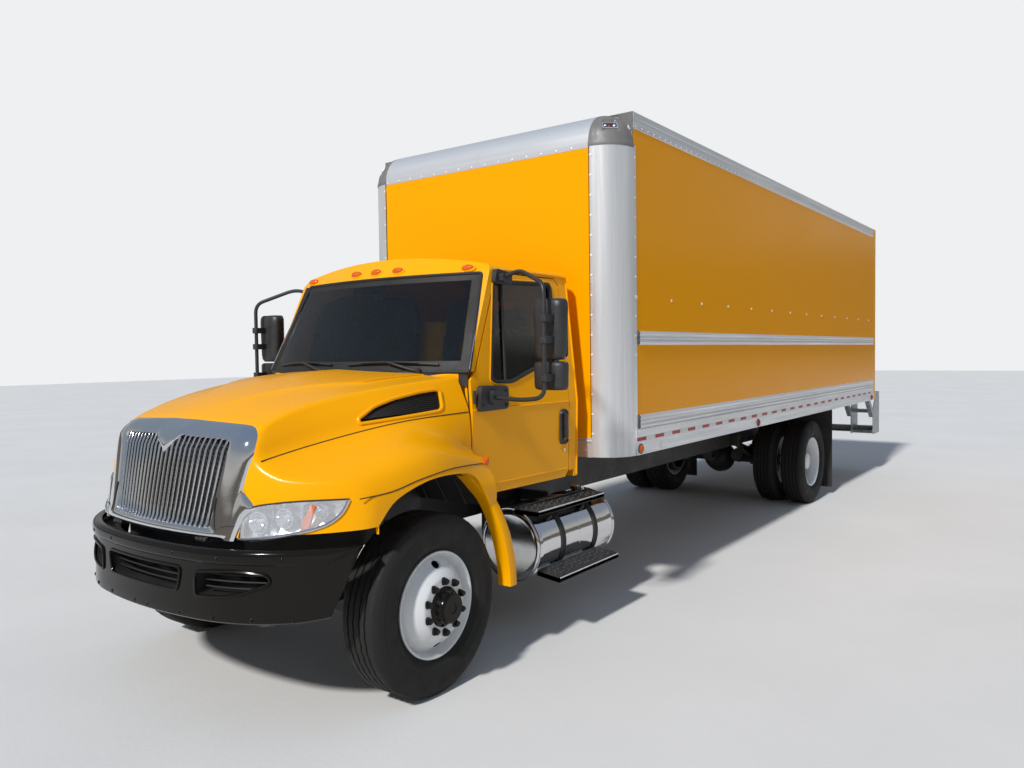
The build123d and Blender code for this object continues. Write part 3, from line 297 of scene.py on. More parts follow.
def settled(thing, body, replaces=(), crease=32, bevel=0.0):
    """A piece on its body, with its corners rounded by the bevel in millimetres."""
    if bevel:
        step = thing.modifiers.new("bevel", "BEVEL")
        step.width, step.segments, step.limit_method = bevel * MM, 2, "ANGLE"
        step.angle_limit = math.radians(crease)
        step.harden_normals = True
    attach(thing, body)
    if replaces:
        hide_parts(*replaces)
    return thing


# Curved faces of the truck
def bow(x, centre, quarter, end):
    """Station of a nose seen from above: a wide arc, then a tighter one to its end."""
    x = abs(x)
    quarter_x, drop = quarter[0], quarter[1] - centre
    wide = (quarter_x ** 2 + drop ** 2) / (2 * drop)
    if x <= quarter_x:
        return centre + wide - math.sqrt(wide ** 2 - x * x)
    slope = math.asin(quarter_x / wide)
    dx, ds = end[0] - quarter_x, end[1] - quarter[1]
    tight = (dx * dx + ds * ds) / (2 * (ds * math.cos(slope) - dx * math.sin(slope)))
    side_x = quarter_x - tight * math.sin(slope)
    side_s = quarter[1] + tight * math.cos(slope)
    return side_s - math.sqrt(max(tight ** 2 - (x - side_x) ** 2, 0))


def nose(x, z):
    """Station of the hood's nose, which leans back more above its crest."""
    lean = 0.19 * (z - 980) + 0.89 * soft(z - 1480, 30)
    return bow(x, 4, (500, 51), (1170, 500)) + lean


def soft(value, width):
    """Zero below and the value itself above, with a rounded corner."""
    return 0.5 * (value + math.sqrt(value * value + width * width))


def bumper_face(x):
    """Station of the bumper's front."""
    return bow(x, -89, (460, -51), (bumper_half, 450))


def on_bumper(points, depth):
    """Places behind the bumper's front from (x, z)."""
    return [(x, bumper_face(x) + depth, z) for x, z in points]


def hermite(knots, s):
    """Smooth value between knots given as (station, tuple of values)."""
    stations = [k[0] for k in knots]
    s = min(max(s, stations[0] - 200), stations[-1])
    i = max(0, min(len(knots) - 2, sum(1 for a in stations[1:-1] if s > a)))
    a, b = stations[i], stations[i + 1]
    t = (s - a) / (b - a)
    result = []
    for j in range(len(knots[0][1])):
        p, q = knots[i][1][j], knots[i + 1][1][j]
        straight = (q - p) / (b - a)
        before = (p - knots[i - 1][1][j]) / (a - stations[i - 1]) if i else straight
        after = ((knots[i + 2][1][j] - q) / (stations[i + 2] - b) if i + 2 < len(knots) else straight)
        m0 = (before + straight) / 2 * (b - a)
        m1 = (after + straight) / 2 * (b - a)
        result.append(p + t * (m0 + t * (3 * (q - p) - 2 * m0 - m1 + t * (2 * (p - q) + m0 + m1))))
    return result


# Hood sections: crown, then x and z of the shoulder, seam, crest, edge and foot
hood_knots = [
    (40, (1510, 622, 1462, 655, 1345, 800, 1230, 1000, 1130, 1010, 1000)),
    (480, (1692, 650, 1632, 748, 1440, 985, 1325, 1140, 1195, 1150, 1000)),
    (980, (1800, 775, 1722, 890, 1525, 1080, 1415, 1200, 1245, 1205, 1000)),
    (1545, (1824, 905, 1775, 967, 1554, 982, 1300, 1112, 1214, 1165, 1000)),
]


def hood_section(s):
    """One half of the hood's section at a station, from the crown down, as (x, z)."""
    crown, sx, sz, mx, mz, cx, cz, ex, ez, fx, fz = hermite(hood_knots, s)
    drop = crown - sz
    ridge = 2 + 7 * min(1, max(0, (s - 220) / 300))
    wide = 0.1 + 0.6 * min(1, max(0, (s - 210) / 790))
    outside = 0.92 - wide
    top = [(0, crown)]
    for share, fall in ((wide, 0), (wide + 0.08, ridge * 0.5), (wide + 0.08 + 0.27 * outside, ridge * 0.9),
                        (wide + 0.08 + 0.75 * outside, ridge * 0.4), (1, 0)):
        top.append((sx * share, crown - drop * share * share - fall))
    side = [(sx, sz), (sx + (mx - sx) * 0.45, sz + (mz - sz) * 0.42), (mx, mz),
            (mx + (cx - mx) * 0.5, mz + (cz - mz) * 0.62), (cx, cz),
            (cx + (ex - cx) * 0.68, cz + (ez - cz) * 0.38), (ex, ez),
            (fx, ez + (fz - ez) * 0.45), (fx, fz)]
    line = smooth_line(top, 5) + smooth_line(side, 6)[1:]
    corner = 5 * (len(top) - 1)
    for _ in range(2):
        eased = list(line)
        for k in range(corner - 2, corner + 3):
            eased[k] = tuple((line[k - 1][j] + 2 * line[k][j] + line[k + 1][j]) / 4 for j in (0, 1))
        line = eased
    return line


section_store = {}
shoulder_column = 25


def section_at(s):
    """The hood's section at the nearest whole station."""
    key = round(s)
    if key not in section_store:
        section_store[key] = hood_section(key)
    return section_store[key]


def hood_side_x(s, z):
    """Half width of the hood's side at a station and height."""
    line = section_at(s)[shoulder_column:]
    for (x0, z0), (x1, z1) in zip(line, line[1:]):
        if z1 <= z <= z0:
            return x0 + (x1 - x0) * (z0 - z) / (z0 - z1 + 1e-6)
    return line[-1][0]


def on_hood(points, out, side):
    """Places on the hood's side from (station, z), moved out."""
    return [(side * (hood_side_x(s, z) + out), s, z) for s, z in points]


def hood_end(x):
    """Station of the hood's rear edge."""
    return 1330 + 200 * min(1, (x / hood_half) ** 2) - 1


def screen(x, z, out=0):
    """Station of the windscreen's face."""
    reach = (973 ** 2 + 164 ** 2) / (2 * 164)
    return 1372 + reach - math.sqrt(reach ** 2 - x * x) + 0.458 * (z - 1788) - out


def on_screen(points, out):
    """Places in front of the windscreen from (x, z)."""
    return [(x, screen(x, z, out), z) for x, z in points]


def screen_half(z):
    """Half width of the windscreen at a height."""
    return 966 - (z - screen_low) * 96 / (screen_high - screen_low)


def cab_side(s, z):
    """Half width of the cab's side, over its sill, belt and eave."""
    t = (s - 1250) / (cab_back - 1250)
    sill, belt, eave = 952 + 53 * t, 968 + 50 * t, 908 + 20 * t
    if z < belt_z:
        return sill + (belt - sill) * (z - 1008) / (belt_z - 1008)
    return belt + (eave - belt) * (z - belt_z) / (2430 - belt_z)


def on_cab(points, out, side):
    """Places on the cab's side from (station, z), moved out."""
    return [(side * (cab_side(s, z) + out), s, z) for s, z in points]


# Materials
def fill(node, **values):
    """Sets plain values on a shader node's inputs."""
    for name, value in values.items():
        node.inputs[name.replace("_", " ")].default_value = value


def new_node(tree, kind, **values):
    """A shader node with plain values on its inputs."""
    node = tree.nodes.new("ShaderNode" + kind)
    fill(node, **values)
    return node


def noise(tree, scale, detail, rough, stretch):
    """A noise texture in the piece's own metres, so it stays on the piece as it moves."""
    coords = new_node(tree, "TexCoord")
    mapping = new_node(tree, "Mapping", Scale=stretch)
    texture = new_node(tree, "TexNoise", Scale=scale, Detail=detail, Roughness=rough)
    tree.links.new(coords.outputs["Object"], mapping.inputs["Vector"])
    tree.links.new(mapping.outputs["Vector"], texture.inputs["Vector"])
    return texture.outputs["Fac"]


def ramp(tree, source, stops):
    """A colour ramp over a value, from a list of (place, colour)."""
    node = new_node(tree, "ValToRGB")
    elements = node.color_ramp.elements
    while len(elements) < len(stops):
        elements.new(0.5)
    for element, (place, colour) in zip(elements, stops):
        element.position, element.color = place, (*colour, 1)
    tree.links.new(source, node.inputs["Fac"])
    return node.outputs["Color"]


def finish(name, base, other, rough, metal=0.0, scale=3.0, stretch=(1, 1, 1), grain=(220, 0.0002),
           **values):
    """A material whose tone and roughness drift over the piece, with a fine grain."""
    mat = bpy.data.materials.new(name)
    mat.use_nodes = True
    tree = mat.node_tree
    shader = tree.nodes["Principled BSDF"]
    fill(shader, Base_Color=(*base, 1), Roughness=rough, Metallic=metal, **values)
    drift = noise(tree, scale, 5, 0.6, stretch)
    tree.links.new(ramp(tree, drift, [(0.3, other), (0.7, base)]), shader.inputs["Base Color"])
    wear = new_node(tree, "MapRange", From_Min=0.3, From_Max=0.7, To_Min=rough * 1.35, To_Max=rough * 0.8)
    tree.links.new(drift, wear.inputs["Value"])
    tree.links.new(wear.outputs["Result"], shader.inputs["Roughness"])
    fine = noise(tree, grain[0], 2, 0.5, stretch)
    relief = new_node(tree, "Bump", Distance=grain[1], Strength=0.5)
    tree.links.new(fine, relief.inputs["Height"])
    tree.links.new(relief.outputs["Normal"], shader.inputs["Normal"])
    return mat


def paint(name, base, other, rough=0.24, coat=0.12, shine=0.28):
    """Gloss paint with a faint cloudy tone and orange peel."""
    return finish(name, base, other, rough, scale=0.9, grain=(240, 0.00005), Coat_Weight=coat,
                  Coat_Roughness=0.04, Specular_IOR_Level=shine)


ALONG_X, ALONG_S, UPRIGHT = (0.03, 1, 1), (1, 0.03, 1), (1, 1, 0.03)


def brushed(name, stretch, base=0.84, rough=0.36):
    """Brushed aluminium with streaks along one axis."""
    return finish(name, (base, base, base), (base * 0.78, base * 0.79, base * 0.8), rough, 0.62,
                  26, stretch, (420, 0.0001))


yellow = paint("yellow_paint", (0.95, 0.405, 0.0), (0.93, 0.39, 0.0), 0.24, 0.05, 0.15)
yellow_panel = paint("yellow_panel", (0.93, 0.37, 0.0), (0.92, 0.36, 0.0), 0.2, 0.0, 0.1)
cap_grey = finish("cap_grey", (0.2, 0.19, 0.18), (0.15, 0.145, 0.14), 0.45, scale=9, grain=(90, 0.001))
black_gloss = paint("black_gloss", (0.006, 0.005, 0.004), (0.01, 0.008, 0.006), 0.14, 0.05, 0.2)
frame_black = finish("frame_black", (0.018, 0.018, 0.019), (0.04, 0.037, 0.033), 0.5, scale=5)
white_gloss = paint("white_gloss", (0.78, 0.79, 0.8), (0.66, 0.66, 0.65), 0.26, 0.3)
chrome = finish("chrome", (0.8, 0.8, 0.81), (0.66, 0.67, 0.69), 0.07, 1.0, 4, grain=(30, 0.00015))
chrome_dull = finish("chrome_dull", (0.75, 0.76, 0.78), (0.6, 0.61, 0.63), 0.3, 0.75, 7)
aluminium = brushed("aluminium", ALONG_S)
aluminium_x = brushed("aluminium_across", ALONG_X)
aluminium_z = brushed("aluminium_upright", UPRIGHT, 0.86, 0.33)
rivet_metal = finish("rivet_metal", (0.9, 0.88, 0.82), (0.75, 0.72, 0.66), 0.35, 0.3, 40)
polished = finish("polished_aluminium", (0.78, 0.78, 0.79), (0.6, 0.61, 0.63), 0.1, 1.0, 5, ALONG_S)
galvanised = finish("galvanised", (0.52, 0.54, 0.56), (0.33, 0.35, 0.37), 0.42, 0.9, 30)
cast = finish("cast_metal", (0.045, 0.045, 0.047), (0.09, 0.08, 0.07), 0.6, 0.3, 14, grain=(90, 0.0012))
rubber = finish("tyre_rubber", (0.012, 0.0115, 0.011), (0.022, 0.021, 0.019), 0.7, scale=9,
                grain=(500, 0.0004), Specular_IOR_Level=0.3)
flap = finish("flap_rubber", (0.02, 0.02, 0.02), (0.05, 0.047, 0.043), 0.7, scale=5, grain=(60, 0.0008))
plastic = finish("black_plastic", (0.022, 0.022, 0.024), (0.035, 0.034, 0.034), 0.42, scale=6,
                 grain=(700, 0.0004))
grey_plastic = finish("grey_plastic", (0.06, 0.062, 0.066), (0.09, 0.09, 0.092), 0.5, scale=8,
                      grain=(700, 0.0004))
dash = finish("dash_plastic", (0.07, 0.07, 0.075), (0.1, 0.098, 0.095), 0.6, grain=(800, 0.0006))
cloth = finish("seat_cloth", (0.09, 0.095, 0.105), (0.05, 0.053, 0.06), 0.95, scale=60,
               grain=(900, 0.0015), Sheen_Weight=0.3)
glass = finish("glass", (0.5, 0.56, 0.55), (0.44, 0.5, 0.5), 0.015, scale=2, grain=(3, 0.00005),
               Transmission_Weight=1.0, IOR=1.45)
lens = finish("lamp_clear", (0.97, 0.98, 1.0), (0.9, 0.92, 0.95), 0.03, scale=4, grain=(40, 0.0001),
              Alpha=0.2, IOR=1.9)
amber = finish("lamp_amber", (0.95, 0.2, 0.005), (0.8, 0.12, 0.003), 0.14, scale=20, grain=(160, 0.0015),
               Transmission_Weight=0.25)
red_lens = finish("lamp_red", (0.32, 0.006, 0.006), (0.2, 0.004, 0.004), 0.16, scale=20,
                  grain=(160, 0.0015), Transmission_Weight=0.15)
tape_red = finish("tape_red", (0.45, 0.02, 0.015), (0.33, 0.015, 0.012), 0.35, scale=30, grain=(260, 0.0006))
tape_white = finish("tape_white", (0.75, 0.75, 0.74), (0.6, 0.6, 0.58), 0.35, scale=30,
                    grain=(260, 0.0006))
deck = finish("deck_wood", (0.3, 0.17, 0.08), (0.16, 0.085, 0.04), 0.6, 0, 12, ALONG_S)
# Near-black for seams, seals, piping and borders, also used as painted shade in and behind the bumper's
# openings
black_parts_and_painted_shade = finish("black_parts_and_painted_shade", (0.012, 0.011, 0.01), (0.02, 0.018, 0.016), 0.6)

slot_looks = {
    "yellow_paint": yellow, "black_paint": black_gloss, "frame_paint": frame_black,
    "white_paint": white_gloss, "chrome": chrome, "aluminium": aluminium,
    "polished_aluminium": polished, "galvanised": galvanised, "cast_metal": cast,
    "tyre_rubber": rubber, "flap_rubber": flap, "black_plastic": plastic, "dash_plastic": dash,
    "seat_cloth": cloth, "glass": glass, "lamp_clear": lens, "lamp_amber": amber,
    "deck_wood": deck,
}
slot_of = {part["node"]: part["material_slot"] for part in frame["record"]["subparts"]}
for name, obj in nodes.items():
    obj.data.materials.clear()
    obj.data.materials.append(slot_looks[slot_of[name]])


def finely(outline, step=28):
    """A closed outline with points no further apart than the step."""
    ring = []
    for i, (a, b) in enumerate(outline):
        c, d = outline[(i + 1) % len(outline)]
        parts = max(1, math.ceil(math.hypot(c - a, d - b) / step))
        ring += [(a + (c - a) * k / parts, b + (d - b) * k / parts) for k in range(parts)]
    return ring


def both(half):
    """A closed outline from its half on the left, listed from the middle round to the middle."""
    return half + [(-x, z) for x, z in reversed(half) if x > 0.5]


def on_nose(points, depth, side=1):
    """Places on the nose from (x, z), a depth behind it."""
    return [(side * x, nose(x, z) + depth, z) for x, z in points]


def plug(outline, front, back):
    """A closed solid that follows the nose, to cut an opening with."""
    middle = middle_of(outline)
    shares = (0.02, 0.35, 0.7, 1)
    solid = Shape()
    solid.solid([on_nose(scaled(outline, middle, k), front) for k in shares]
                + [on_nose(scaled(outline, middle, k), back) for k in reversed(shares)])
    return solid


def dots(shape, places, out, size, rise=0.45, look=0, steps=8):
    """Domed heads at some places, all facing one way."""
    for place in places:
        shape.turn([(0, size), (size * rise * 0.6, size * 0.8), (size * rise, size * 0.35),
                    (size * rise * 1.05, 0.01)], place, out, steps, look)


# Hood: one skin over the top, both fenders and the nose, with its openings cut through
grille_half = [(0, 985), (613, 985), (620, 1200), (636, 1337), (645, 1410), (636, 1478), (616, 1516),
               (560, 1546), (0, 1572)]
headlamp_low = [(640, 1000), (700, 1000), (850, 1020), (1000, 1062), (1062, 1118), (1085, 1190)]
headlamp_high = [(640, 1120), (700, 1158), (800, 1176), (900, 1186), (1000, 1190), (1085, 1190)]
headlamp_ring = headlamp_low + headlamp_high[-2::-1]
vent_outline = [(776, 1540), (776, 1566), (880, 1622), (1010, 1656), (1180, 1682), (1300, 1692),
                (1332, 1684), (1318, 1594), (1290, 1577)]
arch_line = [(548, 880), (550, 1042), (668, 1161), (900, 1233), (1152, 1233), (1331, 1187), (1489, 973),
             (1592, 648), (1609, 478)]

count = len(section_at(500))
columns = [(-1, k) for k in range(count - 1, 0, -1)] + [(1, k) for k in range(count)]


def nose_start(k):
    """Station where a column of the hood meets the nose, with its x and z."""
    s = 150.0
    for _ in range(30):
        x, z = section_at(s)[k]
        s = 0.4 * s + 0.6 * nose(x, z)
    x, z = section_at(s)[k]
    return x, s, z


starts = [nose_start(k) for k in range(count)]
cap_steps = (0.02, 0.3, 0.55, 0.7, 0.8, 0.86, 0.9, 0.925, 0.945, 0.96, 0.973, 0.986, 1.0)
along_steps = [0.012, 0.024, 0.037, 0.05, 0.065, 0.085, 0.11] + [0.14 + 0.0344 * i for i in range(26)]
grid = []
for k in cap_steps:
    row = []
    for side, c in columns:
        x, _, z = starts[c]
        x, z = x * k, 1000 + (z - 1000) * k
        row.append([side * x, nose(x, z), z])
    grid.append(row)
for t in along_steps:
    row = []
    for side, c in columns:
        x, s, z = starts[c]
        for _ in range(4):
            here = s + (hood_end(x) - s) * min(t, 1)
            x, z = section_at(here)[c]
        row.append([side * x, here, z])
    grid.append(row)
edge = len(cap_steps) - 1
for _ in range(9):
    eased = [list(row) for row in grid]
    for r in range(edge - 5, edge + 6):
        for c in range(len(columns)):
            eased[r][c] = [(grid[r - 1][c][j] + 2 * grid[r][c][j] + grid[r + 1][c][j]) / 4
                           for j in range(3)]
    grid = eased
skin = Shape()
skin.skin(grid)
hood = mesh_object("hood_skin", skin, [yellow, black_parts_and_painted_shade], 30)
walled(hood, 0.02)
cut(hood, plug(finely(rounded(both(grille_half), 14, 2)), -60, 62))
for side in (1, -1):
    cut(hood, plug(flipped(finely(rounded(headlamp_ring, 26, 3)), side), -50, 120))
    cut_prism(hood, rounded(vent_outline, 34), (side * 700, side * 1190), "sz")
arch_cut = smooth_line(arch_line[1:-2], 6)
arch_cut = [(arch_cut[0][0], 860)] + arch_cut + [(arch_cut[-1][0] + 60, 860)]
cut_prism(hood, arch_cut, (-1300, 1300), "sz")
cut_prism(hood, [(-40, 985), (250, 1026), (549, 1040), (549, 900), (-40, 900)], (-1300, 1300), "sz")
settled(hood, "hood", ["hood"])

# Fender lips, rear skirts and dark liners over the wheels
lips, liners = Shape(), Shape()
arch_path = smooth_line(arch_line[1:], 6)
skirt_rear = smooth_line([(1352, 1215), (1420, 1165), (1560, 973), (1665, 648), (1680, 478)], 6)
skirt_front = smooth_line([arch_line[5], (1400, 1105)] + arch_line[6:], 6)
skirt_ring = [(-97, 0), (-13, 0), (-4, 0.05), (0, 0.16), (0, 0.86), (-5, 1.0), (-15, 1.0), (-12, 0.84),
              (-12, 0.22), (-21, 0.12), (-97, 0.1)]
liner_path = smooth_line([(520, 1046), (642, 1182), (892, 1254), (1158, 1254), (1352, 1204), (1512, 985)], 6)


def skirt_x(z):
    """Half width of the skirt behind the front wheel, which tucks in towards its top."""
    return 1205 - 90 * min(1, max(0, (z - 780) / 420)) ** 1.5


for side in (1, -1):
    rows = []
    for i, (s, z) in enumerate(arch_path):
        a, b = arch_path[max(i - 1, 0)], arch_path[min(i + 1, len(arch_path) - 1)]
        length = math.hypot(b[0] - a[0], b[1] - a[1])
        up = (-(b[1] - a[1]) / length, (b[0] - a[0]) / length)
        level = z + 6
        x = hood_side_x(s, max(level, 1001)) if level > 1150 or s < 1000 else skirt_x(level)
        ring = [(x - 95, 2), (x - 8, 0), (x - 1, 3), (x - 1, 10), (x - 8, 13), (x - 95, 9)]
        rows.append([(side * rx, s + up[0] * lift, z + up[1] * lift) for rx, lift in ring])
    lips.solid(rows)
    lips.solid([[(side * (skirt_x(fz) + rx), fs + (rs - fs) * k, fz + (rz - fz) * k) for rx, k in skirt_ring]
                for (fs, fz), (rs, rz) in zip(skirt_front, skirt_rear)])
    liners.skin([[(side * x, s, z) for x in (560, 700, 850, 1000, 1110)] for s, z in liner_path])
    liners.add([(side * 560, s, z) for s, z in liner_path + [(1512, 900), (520, 900)]],
               [tuple(range(len(liner_path) + 2))])
    for x in (620, 780, 940):
        liners.tube([(side * x, s, z - 4) for s, z in liner_path], 6, 6)
piece("fender_lips", lips, [yellow], "hood", crease=40)
piece("fender_liners", liners, [plastic], "hood")

# Seam lines of the hood, vents with louvres and raised rims, fender screws and marker lamps
seams, vents = Shape(), Shape()
seam_column = shoulder_column + 12
fender_seam = [(452, 1192), (640, 1206), (830, 1244), (1060, 1268), (1290, 1262), (1500, 1246)]
vent_middle = (1090, 1625)
vent_rim = finely(rounded(vent_outline, 34), 24)
for side in (1, -1):
    line = []
    for s in range(200, 1540, 33):
        x, z = section_at(s)[seam_column]
        line.append((side * (x + 0.5), s, z))
    seams.tube(line, 3.2, 6)
    seams.tube(on_hood(smooth_line(fender_seam, 6), 0.5, side), 3, 6)
    rim_line = [(x, s + (s - vent_middle[0]) * 0.035, z + (z - vent_middle[1]) * 0.12)
                for x, s, z in on_hood(vent_rim, 1, side)]
    vents.tube(rim_line + rim_line[:1], 12, 10, 0)
    back = on_hood(vent_rim, -30, side)
    vents.skin([on_hood(vent_rim, -2, side), back], around=True, look=1)
    vents.skin([back] + [on_hood(scaled(vent_rim, middle_of(vent_rim), k), -30, side)
                         for k in (0.6, 0.3, 0.01)], around=True, look=1)
    for i in range(9):
        path = []
        for s in range(800, 1321, 40):
            floor_z = 1555 + (s - 790) * 0.05
            top_z = 1553 + 128 * math.sin(math.pi / 2 * min(1, (s - 790) / 480))
            path.append((s, floor_z + (top_z - floor_z) * (i + 0.5) / 9))
        vents.tube(on_hood(path, -12, side), 4, 6, 1)
    dots(vents, [(side * 1112, 1490, 1150), (side * 1130, 1520, 1080)], (side, 0, 0), 9, look=2)
    lamp_x = hood_side_x(1500, 1262) - 8
    rows = []
    for out, pull in ((0, 0), (22, 1), (32, 5), (38, 14)):
        near, far, low, high = 1458 + pull, 1534 - pull, 1232 + pull, 1290 - pull
        rows.append([(side * (lamp_x + out), s, z)
                     for s, z in rounded([(near, low + 8), (far, low), (far, high)], 12)])
    vents.solid(rows, 3)
piece("hood_seams", seams, [black_parts_and_painted_shade], "hood")
piece("hood_vents", vents, [yellow, black_parts_and_painted_shade, chrome, amber], "hood",
      ["hood_vent_left", "hood_vent_right"])

# Grille: a broad bright surround, its bars with flared feet and a dark net behind them
pairs = [(0, 1046, 0, 985), (220, 1046, 300, 985), (400, 1046, 560, 985), (438, 1052, 612, 990),
         (448, 1078, 618, 1040), (454, 1120, 620, 1110), (462, 1200, 623, 1200),
         (482, 1337, 645, 1337), (492, 1410, 656, 1410), (500, 1450, 648, 1478),
         (490, 1472, 626, 1524), (450, 1480, 568, 1554), (300, 1485, 430, 1564),
         (175, 1489, 230, 1572), (118, 1490, 118, 1576), (92, 1470, 92, 1577), (45, 1431, 45, 1578),
         (0, 1396, 0, 1579)]
half = smooth_line(pairs, 4)
loop = half + [(-a, b, -c, d) for a, b, c, d in reversed(half[1:-1])]
inner_loop, outer_loop = [p[:2] for p in loop], [p[2:] for p in loop]
band_profile = ((0.0, -55), (0.0, -8), (0.03, 6), (0.1, 15), (0.25, 20), (0.5, 22), (0.75, 19), (0.9, 10),
                (0.97, -2), (1.0, -34))
corner_profile = ((0, 12), (0.15, 17), (0.4, 19), (0.7, 17), (0.9, 12), (1, 4), (1, -20))
corner_inner = smooth_line([(560, 990), (578, 1060), (590, 1130), (606, 1200), (622, 1238)], 4)
corner_outer = smooth_line([(620, 988), (630, 1030), (652, 1090), (694, 1152), (640, 1226)], 4)
surround, slots = Shape(), Shape()
surround.skin([on_nose(between(inner_loop, outer_loop, k), -rise) for k, rise in band_profile], around=True)
for side in (1, -1):
    upright = smooth_line([(480, 1200), (489, 1110), (510, 1030)], 6)
    slots.tube(on_nose(upright, -20, side), [2] + [5] * 11 + [3], 8)
    level = smooth_line([(520, 1040), (560, 1058), (618, 1064)], 6)
    slots.tube(on_nose(level, -19, side), 3, 8)
    surround.skin([on_nose(between(corner_inner, corner_outer, k), -rise, side)
                   for k, rise in corner_profile])
piece("grille_surround", surround, [chrome], "hood", ["grille"], crease=50)
piece("grille_seams", slots, [black_parts_and_painted_shade], "hood")
bars, bar_count, bar_foot = Shape(), 24, 1034
for index in range(bar_count):
    top_x = ((index + 0.5) / bar_count * 2 - 1) * 492
    head = 1499 - 88 * max(0, 1 - abs(top_x) / 118)
    rows = []
    for z, width, out in ((bar_foot, 19, 4), (1040, 19, 12), (1050, 17, 12), (1062, 15, 5), (1120, 14, 4),
                          (1220, 13.5, 4), (1330, 13, 4), (1430, 12.5, 4), (head, 12, 2)):
        x = top_x * (0.9 + 0.1 * (z - bar_foot) / (1475 - bar_foot))
        s = nose(x, z)
        rows.append([(x + width / 2 * math.cos(a), s - out - 13 * math.sin(a) + 8, z) for a in turns(14)])
    bars.solid(rows)
piece("grille_bars", bars, [chrome], "hood", crease=50)
net = Shape()
net.skin([on_nose([(x, z) for x in range(-510, 511, 60)], 48) for z in range(1030, 1511, 60)])
for z in range(1050, 1500, 26):
    net.tube(on_nose([(x, z) for x in range(-500, 501, 50)], 30), 3.5, 6)
for side in (1, -1):
    for inner, outer in ((365, 390), (428, 455)):
        net.box((side * inner, side * outer), (36, 106), (966, 1020))
        net.turn([(0, 14), (outer - inner, 14)], (side * inner, 36, 980), (side, 0, 0), 20)
piece("grille_net", net, [plastic], "hood")

# Headlamps: a dark-edged bowl with reflectors, an amber reflector and a clear cover
lamp_low, lamp_high = smooth_line(headlamp_low, 5), smooth_line(headlamp_high, 5)
for side, hand in SIDES:
    rows = []
    for k, depth in ((0, 2), (0.03, 58), (0.25, 74), (0.5, 80), (0.75, 74), (0.97, 58), (1, 2)):
        row = on_nose(between(lamp_low, lamp_high, k), 0, side)
        rows.append([(x, s + depth * (0.35 + 0.65 * min(1, (len(row) - 1 - i) / 8)), z)
                     for i, (x, s, z) in enumerate(row)])
    bowl = Shape()
    bowl.skin(rows)
    bowl.skin([[row[0] for row in rows], [(side * 655, nose(655, 1060) + 40, 1000 + 20 * k)
                                          for k in range(len(rows))]])
    for x, z, size in ((722, 1078, 52), (842, 1102, 46), (988, 1132, 33)):
        axis = (side * 0.35, -1, 0)
        centre = (side * x, nose(x, z) + 4, z)
        bowl.turn([(-62, 0.01), (-60, size * 0.3), (-50, size * 0.62), (-32, size * 0.86),
                   (-8, size), (-8, size + 4), (-30, size + 3)], centre, axis, 36, 1)
        bowl.turn([(-60, 11), (-26, 11), (-19, 7), (-17, 0.01)], centre, axis, 20, 2)
    for x in (782, 915):
        z0, z1 = 1004 + (x - 640) * 0.09, 1168
        bowl.skin([[(side * (x + dx), nose(x, z) + depth, z)
                    for dx, depth in ((-5, 60), (-4, 12), (4, 12), (5, 60))]
                   for z in (z0, (z0 + z1) / 2, z1)], look=1)
    bowl.skin([[(side * (908 + (z - 1050) * 0.3 + dx), nose(930, z) + 14 + dx * 0.2, z)
                for dx in (0, 12, 24, 36)] for z in (1052, 1080, 1110, 1140, 1170)], look=3)
    piece(f"headlamp_bowl_{hand}", bowl, [chrome_dull, chrome, lens, amber], "hood",
          [f"headlamp_{hand}"], crease=40)
    cover = Shape()
    rows = [on_nose(between(lamp_low, lamp_high, k), -7 * math.sin(math.pi * k) - 1, side)
            for k in (0, 0.1, 0.3, 0.5, 0.7, 0.9, 1)]
    cover.skin(rows)
    cover.skin([[(x, s + 3.5, z) for x, s, z in row] for row in rows])
    piece(f"headlamp_cover_{hand}", cover, [lens], "hood")
    rim = Shape()
    rim.tube([(side * x, nose(x, z) - 3, z - 1) for x, z in lamp_low], 9, 10)
    rim.tube([(side * x, nose(x, z) - 1, z + 2) for x, z in lamp_high], 4, 8, 1)
    rim.tube(on_nose([(642, z) for z in (1000, 1040, 1080, 1120)], -1, side), 5, 8, 1)
    piece(f"headlamp_rim_{hand}", rim, [chrome, black_parts_and_painted_shade], "hood")

# Front bumper: a curved dark channel with a raised band, three lipped openings with pockets lined in painted
# shade, and screws
bumper_profile = ((80, 592), (40, 589), (20, 590), (10, 598), (8, 612), (10, 650), (13, 720), (14, 800),
                  (13, 868), (11, 886), (3, 896), (0, 904), (0, 930), (2, 944), (9, 954), (22, 960),
                  (40, 960), (52, 957))


def bumper_low(s):
    """Height of the bumper's lower edge at a station."""
    edge_line = ((-100, 588), (80, 588), (200, 592), (311, 607), (454, 967))
    for (s0, z0), (s1, z1) in zip(edge_line, edge_line[1:]):
        if s <= s1:
            return z0 + (z1 - z0) * (s - s0) / (s1 - s0)
    return 960


rows = []
for depth, z in bumper_profile:
    row = []
    for i in range(-52, 53):
        x = bumper_half * math.sin(math.pi / 2 * i / 52)
        s = bumper_face(x)
        slope = (bumper_face(min(abs(x) + 2, bumper_half)) - bumper_face(max(abs(x) - 2, 0))) / 4
        slope = min(slope, 3) * (1 if x > 0 else -1 if x < 0 else 0)
        length = math.hypot(1, slope)
        bottom = min(bumper_low(s), 950)
        row.append((x - depth * slope / length, s + depth / length,
                    bottom + (z - 588) * (960 - bottom) / 372))
    rows.append(row)
skin = Shape()
skin.skin(rows)
bumper = mesh_object("bumper_skin", skin, [black_gloss], 35)
walled(bumper, 0.008)
centre_opening = rounded([(-352, 850), (352, 850), (324, 724), (-324, 724)], 34)
side_opening = rounded([(456, 838), (560, 850), (663, 857), (760, 850), (832, 838), (849, 813),
                        (834, 790), (713, 744), (626, 726), (452, 716)], 26)
bumper_trim_and_painted_shade = Shape()
